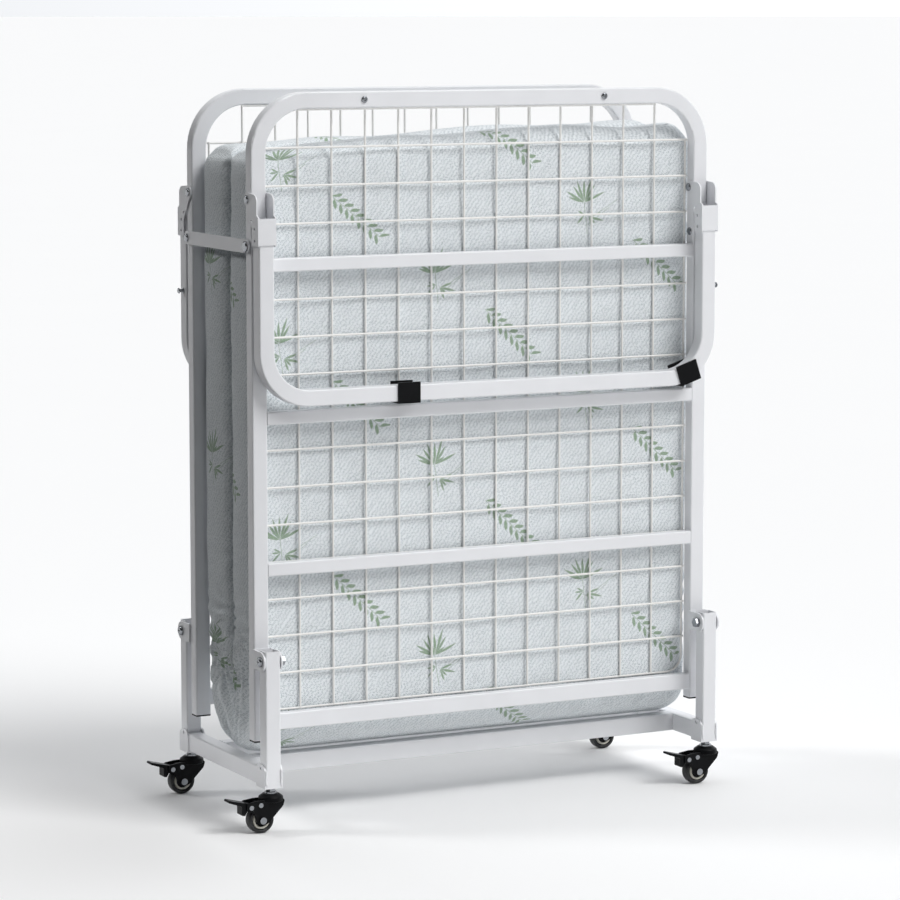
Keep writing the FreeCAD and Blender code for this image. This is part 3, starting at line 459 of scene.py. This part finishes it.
def twig_ink(tree, across, up):
    """A slanting twig with small leaves by turns on each side. Along the twig, a leaf stands every
    pitch; its width is the sine of how far out the point is, and both rows lean forward."""
    x, y = repeat_place(tree, across, up, TWIG_AT)
    cos, sin = math.cos(TWIG_TURN), math.sin(TWIG_TURN)
    along = dot(tree, x, y, cos, sin)
    out = cross(tree, x, y, cos, sin)
    far = maths(tree, "ABSOLUTE", out)
    pitch, leaf_out, twig_half = 13.0, 13.0, 54.0
    forward = maths(tree, "MULTIPLY_ADD", far, -0.85, along)
    side = maths(tree, "MULTIPLY", maths(tree, "GREATER_THAN", out, 0), 0.5)
    turn = maths(tree, "FRACT", maths(tree, "ADD", maths(tree, "DIVIDE", forward, pitch), side))
    aside = maths(tree, "MULTIPLY",
                  maths(tree, "ABSOLUTE", maths(tree, "SUBTRACT", turn, 0.5)), pitch * 0.76)
    share = maths(tree, "MINIMUM", maths(tree, "DIVIDE", far, leaf_out), 1.0)
    half = maths(tree, "MULTIPLY", maths(tree, "SINE", maths(tree, "MULTIPLY", share, math.pi)), 3.4)
    within = maths(tree, "LESS_THAN", maths(tree, "ABSOLUTE", forward), twig_half)
    leaves = maths(tree, "MULTIPLY", within, edge_ink(tree, half, aside, 0.5))
    stem = line_ink(tree, along, out, (-twig_half, 0), (twig_half, 0), 1.1)
    return strongest(tree, [leaves, stem])


def strongest(tree, values):
    """The largest of several values."""
    best = values[0]
    for value in values[1:]:
        best = maths(tree, "MAXIMUM", best, value)
    return best


def knitted_cover(name, sizes):
    """Jacquard knitted polyester over foam. It is a cool white with short slanting sunken
    stitches, a fine knit between them, a soft nap, and a pale green leaf print that the
    stitches break up. The sunken stitches are painted a darker grey, as painted shade in their pits."""
    made, tree, shader = material(name)
    place = in_millimetres(tree, "UV")
    # The sunken stitches are about 5 mm long and 2 mm apart, slanting down to the right.
    slanted = add(tree, "ShaderNodeMapping", {"vector_type": "TEXTURE"}, {
        "Vector": place, "Rotation": (0, 0, math.radians(-38)), "Scale": (5.6, 2.1, 1)}).outputs[0]
    cell = add(tree, "ShaderNodeTexVoronoi", {"voronoi_dimensions": "2D"},
               {"Vector": slanted, "Scale": 1.0, "Randomness": 0.55}).outputs["Distance"]
    pit = spread(tree, cell, 0.2, 0.4, 1, 0)
    loops = noise(tree, place, 0.9, 2.0)
    drift = noise(tree, place, 45, 3.0)
    soft = noise(tree, place, 12, 2.0)

    split = add(tree, "ShaderNodeSeparateXYZ", inputs={0: place})
    wander = noise(tree, place, 20, 1.0)
    across = maths(tree, "MULTIPLY_ADD", wander, 3.0, split.outputs[0])
    up = split.outputs[1]
    ink = strongest(tree, [sprig_ink(tree, across, up), twig_ink(tree, across, up)])
    worn = maths(tree, "MULTIPLY", ink, spread(tree, loops, 0.25, 0.6, 0.62, 0.95))
    printed = maths(tree, "MULTIPLY", worn, spread(tree, pit, 0, 1, 1.0, 0.7))

    plain = tint(tree, spread(tree, drift, 0.3, 0.7, 0, 1), darker(sizes.cloth, 0.955), sizes.cloth)
    # Painted shade: where the stitches sink, the cloth is mixed towards the stitch-shade grey, more or
    # less by the soft noise.
    stitch_shaded = add(tree, "ShaderNodeMix", {"data_type": "RGBA"},
                   {0: maths(tree, "MULTIPLY", pit, spread(tree, soft, 0.3, 0.7, 0.35, 0.75)), 6: plain,
                    7: rgba(sizes.dash)}).outputs[2]
    finished = add(tree, "ShaderNodeMix", {"data_type": "RGBA"},
                   {0: printed, 6: stitch_shaded, 7: rgba(sizes.leaf)}).outputs[2]
    tree.links.new(finished, shader.inputs["Base Color"])

    height = dot(tree, pit, loops, -1.0, 0.35)
    tree.links.new(relief(tree, height, 0.00045), shader.inputs["Normal"])
    shader.inputs["Roughness"].default_value = 0.85
    shader.inputs["IOR"].default_value = 1.45
    shader.inputs["Sheen Weight"].default_value = 0.25
    shader.inputs["Sheen Roughness"].default_value = 0.45
    return made


def floor_paint(name, base):
    """Matt studio floor paint. It is almost white, with no pattern that shows."""
    made, tree, shader = material(name)
    patch = noise(tree, in_millimetres(tree), 900)
    shader.inputs["Roughness"].default_value = 0.9
    tree.links.new(tint(tree, patch, darker(base, 0.99), base), shader.inputs["Base Color"])
    return made


def finish_nodes(slots, made):
    """Give a material to every frame part whose record slot is one of these."""
    found = [s["node"] for s in frame["record"]["subparts"] if s["material_slot"] in slots]
    if not found:
        raise RuntimeError(f"the frame has no part with a slot in {slots}")
    for name in found:
        mesh = frame["nodes"][name].data
        mesh.materials.clear()
        mesh.materials.append(made)


# ---------------------------------------------------------------- mattress

def mattress_rows(sizes, low, high, thick, half_width, bend, rise):
    """The profile carried round a layer, from the middle of its underside, out along the bend,
    up the face, over the padded end and in to its middle line. Each row has a height, a half
    width, an inner and outer distance from the middle plane, the inner and outer edge rounds, and
    the length of cover up to it. The bend is a quarter of an ellipse, bend wide and rise tall."""
    end, edge = sizes.top_round, sizes.side_round
    flat_rows, bend_rows, wall_rows, end_rows, last_rows = 4, 40, 150, 12, 6
    closer_low = 1.2
    flat = np.linspace(0, 1, flat_rows + 1)[:-1]
    turn = np.linspace(0, math.pi / 2, bend_rows)
    wall_low, wall_high = low + rise, high - end
    wall = wall_low + (wall_high - wall_low) * np.linspace(0, 1, wall_rows)[1:-1] ** closer_low
    over = np.linspace(0, math.pi / 2, end_rows)
    last = np.linspace(0, 1, last_rows + 1)[1:]
    half = thick / 2

    z = np.concatenate([np.full(flat_rows, low), low + rise * (1 - np.cos(turn)), wall,
                        wall_high + end * np.sin(over), np.full(last_rows, high)])
    outer = np.concatenate([(thick - bend) * flat, thick - bend + bend * np.sin(turn),
                            np.full(len(wall), thick), thick - end * (1 - np.cos(over)),
                            thick - end - (half - end) * last])
    inner = np.concatenate([np.zeros(flat_rows + bend_rows + len(wall)),
                            end * (1 - np.cos(over)), end + (half - end) * last])
    drop = np.clip((low + edge - z) / edge, 0, 1)
    width = half_width - edge * (1 - np.sqrt(1 - drop ** 2)) - inner
    gap = outer - inner
    crease = edge * ramp(z, low + 0.09, low + 0.2)
    inner_round = np.minimum(crease, gap * 0.45) * ramp(high - end * 0.2 - z, 0, end)
    outer_round = np.minimum(edge, gap * 0.45) * np.where(z > high - 1e-6, 0, 1)
    outer_round = outer_round * np.clip(gap / 0.02, 0, 1)
    cover = np.concatenate([[0], np.cumsum(np.hypot(np.diff(z), np.diff(outer)))])
    cover += wall_low - cover[flat_rows + bend_rows - 1]
    return z, width, inner, outer, inner_round, outer_round, cover


def ring(width, inner, outer, inner_round, outer_round):
    """One turn round a layer for every row: the inner face from right to left, the left side, the
    outer face from left to right and the right side, joined by quarter circles."""
    face_steps, side_steps, corner_steps = 150, 42, 7
    along = np.linspace(0, 1, face_steps, endpoint=False)[None, :]
    deep = np.linspace(0, 1, side_steps, endpoint=False)[None, :]
    turn = np.linspace(0, math.pi / 2, corner_steps, endpoint=False)[None, :]
    w, i, o, ir, orr = (a[:, None] for a in (width, inner, outer, inner_round, outer_round))
    pieces = [
        ((w - ir) * (1 - 2 * along), i + 0 * along),
        (-(w - ir) - ir * np.sin(turn), i + ir * (1 - np.cos(turn))),
        (-w + 0 * deep, i + ir + (o - orr - i - ir) * deep),
        (-(w - orr) - orr * np.cos(turn), o - orr + orr * np.sin(turn)),
        ((w - orr) * (2 * along - 1), o + 0 * along),
        (w - orr + orr * np.sin(turn), o - orr + orr * np.cos(turn)),
        (w + 0 * deep, o - orr + (i + ir - o + orr) * deep),
        (w - ir + ir * np.cos(turn), i + ir - ir * np.sin(turn)),
    ]
    return np.concatenate([p[0] for p in pieces], 1), np.concatenate([p[1] for p in pieces], 1)


def mattress_shape(sizes, low, high, thick, half_width, bend, rise, seed):
    """One layer as a closed padded surface. Its rows and rings give a rounded slab with a round
    bend at its foot. Then it is softened: the long sides swell by a parabola, the faces get slow
    hills, the crease gets short tucks, and gathers fan out from the crease's lower end as a sine
    of the angle about it plus the logarithm of the distance, which curls them."""
    z, width, inner, outer, inner_round, outer_round, cover = mattress_rows(
        sizes, low, high, thick, half_width - sizes.crown, bend, rise)
    x, out = ring(width, inner, outer, inner_round, outer_round)
    z = z[:, None] + 0 * x
    side = np.sign(x)
    side_x = half_width - sizes.crown
    at_side = ramp(np.abs(x), side_x - 0.012, side_x - 0.002)
    on_face = 1 - at_side
    middle = np.clip(1 - ((out - thick / 2) / (thick / 2)) ** 2, 0, 1)
    up_wall = ramp(z, low, low + 0.04) * ramp(high - z, 0, 0.04)
    end = ramp(z, high - 0.02, high)

    swell = sizes.crown * middle * up_wall * at_side
    slow = hills(out, z, 0.16, seed) * sizes.unevenness * at_side * 0.7

    root_z, root_out, curl, fold_count = low + 0.15, -0.004, 0.9, 17
    far = np.hypot(out - root_out, z - root_z)
    angle = np.arctan2(out - root_out, root_z - z)
    warp = 0.08 * hills(out, z, 0.09, seed + 1) + curl * np.log(far / 0.05)
    folds = 0.5 * (np.sin(fold_count * (angle + warp)) - 1)
    folds = folds * (0.7 + 0.3 * hills(out, z, 0.06, seed + 9))
    fan = ramp(far, 0.004, 0.03) * (1 - ramp(far, 0.12, 0.22))
    fan = fan * (1 - ramp(z, root_z + 0.01, root_z + 0.12))
    gathered = sizes.gathers * folds * fan * at_side

    near_crease = np.exp(-(out / 0.02) ** 2) * ramp(z, low + 0.1, low + 0.16) * at_side
    short = hills(out * 0.4, z, 0.022, seed + 2) + 0.6 * hills(out, z, 0.06, seed + 3)
    tucks = sizes.pucker * near_crease * short
    near_corner = np.exp(-((thick - out) / 0.018) ** 2) * at_side
    soft_corner = sizes.pucker * 0.6 * near_corner * hills(out, z, 0.05, seed + 4)

    x = x + side * (swell + slow + gathered + tucks + soft_corner - sizes.pucker)
    lean = hills(x, z, 0.30, seed + 5) * sizes.unevenness
    lean = lean + 0.35 * hills(x, z, 0.05, seed + 6) * sizes.pucker
    outside = ramp(out, thick * 0.7, thick)
    near_foot = ramp(z, low, low + 0.02) * (1 - ramp(z, low + 0.03, low + 0.1))
    bunched = 0.5 * sizes.gathers * np.minimum(hills(x * 1.6, z * 0.5, 0.05, seed + 7), 0)
    out = out + outside * on_face * (lean - 1.1 * sizes.unevenness + bunched * near_foot)
    out = np.clip(out, 0, thick)
    z = z + end * (hills(x, out, 0.22, seed + 8) * 2.0 * sizes.unevenness - 2.4 * sizes.unevenness
                   + 0.8 * sizes.crown * middle * on_face)
    return x, out, z, cover


def cover_uv(x, out, cover, shift):
    """Cover coordinates: the distance round the layer at half height, with 0 at the middle of the
    outer face, and the distance up the cover."""
    middle = len(x) // 2
    ring_x, ring_out = x[middle], out[middle]
    steps = np.hypot(np.diff(ring_x, append=ring_x[:1]), np.diff(ring_out, append=ring_out[:1]))
    around = np.concatenate([[0], np.cumsum(steps)])
    inner_side = ring_out < ring_out.max() * 0.8
    face = np.argmin(np.abs(ring_x) + 10 * inner_side)
    around = around - around[face]
    u = around[None, :] + 0 * cover[:, None] + shift[0]
    v = cover[:, None] + 0 * around[None, :] + shift[1]
    grid = np.stack([u, v], -1)
    return np.stack([grid[:-1, :-1], grid[:-1, 1:], grid[1:, 1:], grid[1:, :-1]], 2).reshape(-1, 4, 2)


class COT_OT_mattress(bpy.types.Operator):
    """Two padded layers of one folded mattress, each on its deck half"""
    bl_idname = "cot.mattress"
    bl_label = "Mattress"

    def execute(self, context):
        sizes = context.scene.cot_mattress
        droop_from, droop_deep = -0.15, 0.3
        cloth = knitted_cover("knitted_cover", sizes)
        for seed, (end, way) in enumerate(HALVES):
            body_low, body_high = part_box(f"{end}_mattress")
            fold_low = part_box(f"{end}_mattress_fold")[0]
            thick = max(abs(body_low.y), abs(body_high.y))
            high = body_high.z
            if way > 0:
                bend, rise, shift = sizes.bend_round, sizes.bend_round, (0.0, 0.0)
            else:
                bend, rise, shift = 0.98 * thick, sizes.rear_rise, (0.03, -0.115)
            x, out, z, cover = mattress_shape(
                sizes, fold_low.z, high, thick, body_high.x, bend, rise, 10 * seed + 3)
            to_left = ramp(-way * x, droop_from, body_high.x)
            z = z - sizes.droop * to_left * ramp(z, high - droop_deep, high)
            points = np.stack([way * x, -way * out, z], -1).reshape(-1, 3)
            faces = lattice_faces(*x.shape, False, True)
            piece = new_piece(f"{end}_mattress_cover", points, faces,
                              cover_uv(x, out, cover, shift), merge=0.00002)
            piece.data.materials.append(cloth)
            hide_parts(f"{end}_mattress", f"{end}_mattress_fold")
            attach(piece, f"{end}_deck")
            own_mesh(piece)
        return {"FINISHED"}


# ---------------------------------------------------------------- wheels

def revolved(radius, offset, centre, turns=96):
    """A closed section of radii and offsets carried round the Y axis through centre. Both may
    change round the wheel, and then hold one column for each turn."""
    round_wheel = np.linspace(0, math.tau, turns, endpoint=False)[None, :]
    radius, offset = radius + 0 * round_wheel, offset + 0 * round_wheel
    points = np.stack([centre.x + radius * np.cos(round_wheel), centre.y + offset,
                       centre.z + radius * np.sin(round_wheel)], -1)
    return points.reshape(-1, 3), lattice_faces(*radius.shape, True, True)


def cushion_section(middle, half_height, half_width, power, count=40):
    """A superellipse section: cosine and sine of the angle, each raised to 2 / power with its
    sign, times the half sizes."""
    t = np.linspace(0, math.tau, count, endpoint=False)[:, None]
    c, s = np.cos(t), np.sin(t)
    return (middle + half_height * np.sign(c) * np.abs(c) ** (2 / power),
            half_width * np.sign(s) * np.abs(s) ** (2 / power))


def wheel_centre(bore, rim, half_width, spokes=5, turns=96):
    """The wheel's middle: a dished web that is thick at the boss and the rim, with spokes as the
    sixth power of a cosine of the angle."""
    t = np.linspace(0, 1, 22)[:, None]
    radius = bore + (rim - bore) * t
    around = np.linspace(0, math.tau, turns, endpoint=False)[None, :]
    boss = np.exp(-((t - 0.05) / 0.22) ** 2)
    lip = ramp(t, 0.82, 0.95)
    rib = (0.5 + 0.5 * np.cos(spokes * around)) ** 6 * ramp(t, 0.2, 0.35) * (1 - ramp(t, 0.75, 0.9))
    deep = half_width * (0.52 + 0.48 * np.maximum(boss, lip) + 0.3 * rib)
    deep = np.minimum(deep, half_width)
    radius = radius + 0 * around
    return np.concatenate([radius, radius[::-1]]), np.concatenate([deep, -deep[::-1]])


class COT_OT_wheels(bpy.types.Operator):
    """Treads, pale rings and spoked centres of the four casters"""
    bl_idname = "cot.wheels"
    bl_label = "Wheels"

    def execute(self, context):
        sizes = context.scene.cot_wheels
        rubber = tread_rubber("polyurethane_tread", sizes.rubber)
        ring_finish = ring_plastic("polypropylene_ring", sizes.ring)
        core = moulded_nylon("wheel_nylon", sizes.centre, 1.2, 0.35)
        for caster in CASTERS:
            low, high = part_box(f"{caster}_tyre")
            centre = (low + high) / 2
            outside, half_width = (high.z - low.z) / 2, (high.y - low.y) / 2
            ring_out = outside - sizes.tread_height
            ring_in = ring_out - sizes.ring_height
            bore, bite = 3.2 * MM, 0.15 * MM
            tread = cushion_section((outside + ring_out) / 2, sizes.tread_height / 2, half_width, 3.4)
            pale = cushion_section((ring_out + ring_in) / 2, sizes.ring_height / 2 + bite,
                                   half_width * 0.96, 3.0, 28)
            middle = wheel_centre(bore, ring_in + 0.1 * MM, half_width * 0.86)
            for part, (radius, offset), finish, slot, stands_for in (
                    ("tread", tread, rubber, "rubber_tyre", f"{caster}_tyre"),
                    ("ring", pale, ring_finish, "wheel_centre", f"{caster}_hub"),
                    ("centre", middle, core, "wheel_centre", f"{caster}_hub")):
                points, faces = revolved(radius, offset, centre)
                piece = new_piece(f"{caster}_{part}", points, faces, smooth_angle=math.radians(50))
                piece.data.materials.append(finish)
                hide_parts(stands_for)
                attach(piece, f"{caster}_wheel")
        return {"FINISHED"}


# ---------------------------------------------------------------- weld beads

def bead(start, end, radius, pitch, seed):
    """A weld bead from one point to the other: a thin tube whose radius is a row of half sines,
    one for each ripple, wandering a little, and closing to nothing at its ends."""
    start, end = np.array(start), np.array(end)
    span = np.linalg.norm(end - start)
    along = (end - start) / span
    aside = np.cross(along, (0.3, 0.5, 0.81))
    aside /= np.linalg.norm(aside)
    third = np.cross(along, aside)
    ripples = max(3, int(round(span / pitch)))
    t = np.linspace(0, 1, ripples * 5 + 1)
    size = radius * (0.72 + 0.28 * np.abs(np.sin(math.pi * ripples * t)))
    size *= 1 + 0.12 * hills(t * span, 0 * t, 0.012, seed)
    size *= np.sqrt(np.clip(np.minimum(t, 1 - t) * span / radius, 0.0004, 1))
    wander = 0.15 * radius * hills(t * span, 0 * t, 0.02, seed + 1)
    sides = 9
    around = np.linspace(0, math.tau, sides, endpoint=False)[None, :, None]
    line = start + along * (t * span)[:, None] + aside * wander[:, None]
    points = line[:, None] + size[:, None, None] * (aside * np.cos(around) + third * np.sin(around))
    return points.reshape(-1, 3), lattice_faces(len(t), sides, False, True)


def levels(node, gap):
    """The lowest and highest heights of each run of a node's points that a gap sets apart."""
    mesh = frame["nodes"][node].data
    points = np.zeros(len(mesh.vertices) * 3, np.float32)
    mesh.vertices.foreach_get("co", points)
    z = np.sort(points[2::3].astype(float))
    cut = np.flatnonzero(np.diff(z) > gap) + 1
    return [(part[0], part[-1]) for part in np.split(z, cut)]


class COT_OT_welds(bpy.types.Operator):
    """Weld beads where cross tubes meet the bows and posts meet the base"""
    bl_idname = "cot.welds"
    bl_label = "Weld beads"

    def execute(self, context):
        sizes = context.scene.cot_finish
        finish = powder_coat("painted_weld", sizes.paint, 1.4)
        radius, pitch = sizes.bead_radius, sizes.bead_pitch
        sunk, short = 0.3 * MM, 2 * MM
        post_from, post_to = 3 * MM, 26 * MM
        for end, way in HALVES:
            low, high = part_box(f"{end}_cross_tubes")
            seed = 50 if way > 0 else 150
            beads = []
            for bottom, top in levels(f"{end}_cross_tubes", 0.05):
                for side in (-1, 1):
                    x = side * (high.x - sunk)
                    for z in (bottom, top):
                        seed += 1
                        beads.append(bead((x, low.y + short, z), (x, high.y - short, z),
                                          radius, pitch, seed))
            self.place(f"{end}_deck_welds", beads, finish, f"{end}_deck")
        beads = []
        for end, way in HALVES:
            for side in ("left", "right"):
                low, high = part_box(f"post_{end}_{side}")
                for x in (low.x, high.x):
                    for y in (low.y, high.y):
                        seed += 1
                        beads.append(bead((x, y, low.z + post_from), (x, y, low.z + post_to),
                                          radius, pitch, seed))
        self.place("base_welds", beads, finish, "base")
        return {"FINISHED"}

    def place(self, name, beads, finish, body):
        """Join the beads into one piece on a body."""
        points, faces = joined(beads)
        piece = new_piece(name, points, faces)
        piece.data.materials.append(finish)
        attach(piece, body)


# ---------------------------------------------------------------- frame finishes

class COT_OT_tubes(bpy.types.Operator):
    """Powder coat on the tubes and pressed sheet"""
    bl_idname = "cot.tubes"
    bl_label = "Tubes and sheet"

    def execute(self, context):
        finish_nodes({"white_tube", "white_sheet"},
                     powder_coat("powder_coated_steel", context.scene.cot_finish.paint, 2.2))
        return {"FINISHED"}


class COT_OT_wires(bpy.types.Operator):
    """Powder coat on the welded wire grids"""
    bl_idname = "cot.wires"
    bl_label = "Wire grids"

    def execute(self, context):
        finish_nodes({"white_wire"},
                     powder_coat("powder_coated_wire", context.scene.cot_finish.wire, 1.3))
        return {"FINISHED"}


class COT_OT_hardware(bpy.types.Operator):
    """Zinc plate on the bolts, rivets, screws and stems"""
    bl_idname = "cot.hardware"
    bl_label = "Hardware"

    def execute(self, context):
        finish_nodes({"zinc"}, zinc_plate("zinc_plated_steel", context.scene.cot_finish.zinc))
        return {"FINISHED"}


class COT_OT_plastics(bpy.types.Operator):
    """Moulded black plastic on the clips, caps, caster housings and pedals"""
    bl_idname = "cot.plastics"
    bl_label = "Plastic parts"

    def execute(self, context):
        finish_nodes({"black_plastic"},
                     moulded_nylon("moulded_nylon", context.scene.cot_finish.plastic, 0.9, 0.3))
        return {"FINISHED"}


# ---------------------------------------------------------------- stage

class COT_OT_stage(bpy.types.Operator):
    """Pale floor, soft light and the camera"""
    bl_idname = "cot.stage"
    bl_label = "Stage"

    def execute(self, context):
        sizes = context.scene.cot_stage
        self.floor(sizes)
        self.flag()
        self.camera(context, sizes)
        self.lights(context, sizes)
        return {"FINISHED"}

    def flag(self):
        """A black card standing close to the bed's left side, unseen and casting no shadow. It
        keeps the floor's light off that side, as a studio flag does."""
        at_x, half_y, low, high = -0.47, 0.32, 0.1, 1.15
        rows, columns = 6, 9
        y, z = np.meshgrid(np.linspace(-half_y, half_y, columns), np.linspace(low, high, rows))
        points = np.stack([0 * y + at_x, y, z], -1).reshape(-1, 3)
        mesh = bpy.data.meshes.new("flag")
        mesh.from_pydata(points.tolist(), [],
                         lattice_faces(rows, columns, False, False).tolist())
        made, _, shader = material("black_velvet")
        shader.inputs["Base Color"].default_value = rgba(linear("#0A0A0A"))
        shader.inputs["Roughness"].default_value = 1.0
        mesh.materials.append(made)
        card = bpy.data.objects.new("flag", mesh)
        card.visible_camera = False
        card.visible_shadow = False
        card.visible_glossy = False
        bpy.context.scene.collection.objects.link(card)

    def floor(self, sizes):
        """A flat floor that reaches to the horizon."""
        reach, lines = 400.0, 41
        across = np.linspace(-reach, reach, lines)
        x, y = np.meshgrid(across, across)
        points = np.stack([x, y, 0 * x], -1).reshape(-1, 3)
        faces = lattice_faces(lines, lines, False, False)
        mesh = bpy.data.meshes.new("floor")
        mesh.from_pydata(points.tolist(), [], faces.tolist())
        mesh.materials.append(floor_paint("studio_floor", sizes.floor))
        floor = bpy.data.objects.new("floor", mesh)
        bpy.context.scene.collection.objects.link(floor)

    def camera(self, context, sizes):
        """A long lens at the given angles about the aim point."""
        a, e = sizes.azimuth, sizes.elevation
        back = Vector((math.sin(a) * math.cos(e), -math.cos(a) * math.cos(e), math.sin(e)))
        camera = bpy.data.objects.new("camera", bpy.data.cameras.new("camera"))
        camera.data.lens = sizes.lens
        camera.data.sensor_width = 36
        camera.data.clip_end = 200
        camera.location = Vector((0, 0, sizes.aim_height)) + back * sizes.distance
        camera.rotation_euler = (-back).to_track_quat("-Z", "Y").to_euler()
        context.scene.collection.objects.link(camera)
        context.scene.camera = camera

    def lights(self, context, sizes):
        """A broad key from the front right, a faint top light, one that grazes the left side, and
        a studio that is white behind the bed and dim on its left."""
        suns = (("key", sizes.key_strength, 32, 44, 31),
                ("top", 0.4, 60, 8, -20),
                ("side", sizes.side_strength, 14, 55, -122))
        bright_way, brightest = (0.8, 0.55, 0.25), 1.12
        for name, energy, spread_angle, tilt, turn in suns:
            light = bpy.data.lights.new(name, "SUN")
            light.energy = energy
            light.angle = math.radians(spread_angle)
            lamp = bpy.data.objects.new(name, light)
            lamp.rotation_euler = (math.radians(tilt), 0, math.radians(turn))
            context.scene.collection.objects.link(lamp)
        world = bpy.data.worlds.new("studio")
        world.use_nodes = True
        context.scene.world = world
        tree = world.node_tree
        tree.nodes.clear()
        facing = add(tree, "ShaderNodeVectorMath", {"operation": "DOT_PRODUCT"}, {
            0: add(tree, "ShaderNodeTexCoord").outputs["Generated"],
            1: bright_way}).outputs["Value"]
        strength = spread(tree, facing, 0.22, 0.9, sizes.ambient, brightest)
        back = add(tree, "ShaderNodeBackground", inputs={
            "Color": rgba(linear("#FAFCFF")), "Strength": strength})
        add(tree, "ShaderNodeOutputWorld", inputs={"Surface": back.outputs[0]})
        context.scene.view_settings.view_transform = "Standard"


# ---------------------------------------------------------------- add-on

OPERATORS = (COT_OT_tubes, COT_OT_wires, COT_OT_hardware, COT_OT_plastics, COT_OT_welds,
             COT_OT_wheels, COT_OT_mattress, COT_OT_stage)
SETTINGS = (("cot_mattress", CotMattressSettings), ("cot_wheels", CotWheelSettings),
            ("cot_finish", CotFinishSettings), ("cot_stage", CotStageSettings))


class COT_PT_panel(bpy.types.Panel):
    """Settings and pieces of the folding cot"""
    bl_idname = "COT_PT_panel"
    bl_label = "Folding cot"
    bl_space_type = "VIEW_3D"
    bl_region_type = "UI"
    bl_category = "Folding Cot"

    def draw(self, context):
        for operator in OPERATORS:
            self.layout.operator(operator.bl_idname)
        for attribute, group in SETTINGS:
            box = self.layout.box()
            for name in group.__annotations__:
                box.prop(getattr(context.scene, attribute), name)


def register():
    for attribute, group in SETTINGS:
        bpy.utils.register_class(group)
        setattr(bpy.types.Scene, attribute, bpy.props.PointerProperty(type=group))
    for cls in (*OPERATORS, COT_PT_panel):
        bpy.utils.register_class(cls)


def unregister():
    for cls in (COT_PT_panel, *reversed(OPERATORS)):
        bpy.utils.unregister_class(cls)
    for attribute, group in reversed(SETTINGS):
        delattr(bpy.types.Scene, attribute)
        bpy.utils.unregister_class(group)


def main():
    """Register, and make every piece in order."""
    register()
    for operator in OPERATORS:
        section, name = operator.bl_idname.split(".")
        getattr(getattr(bpy.ops, section), name)()


if __name__ == "__main__":
    main()
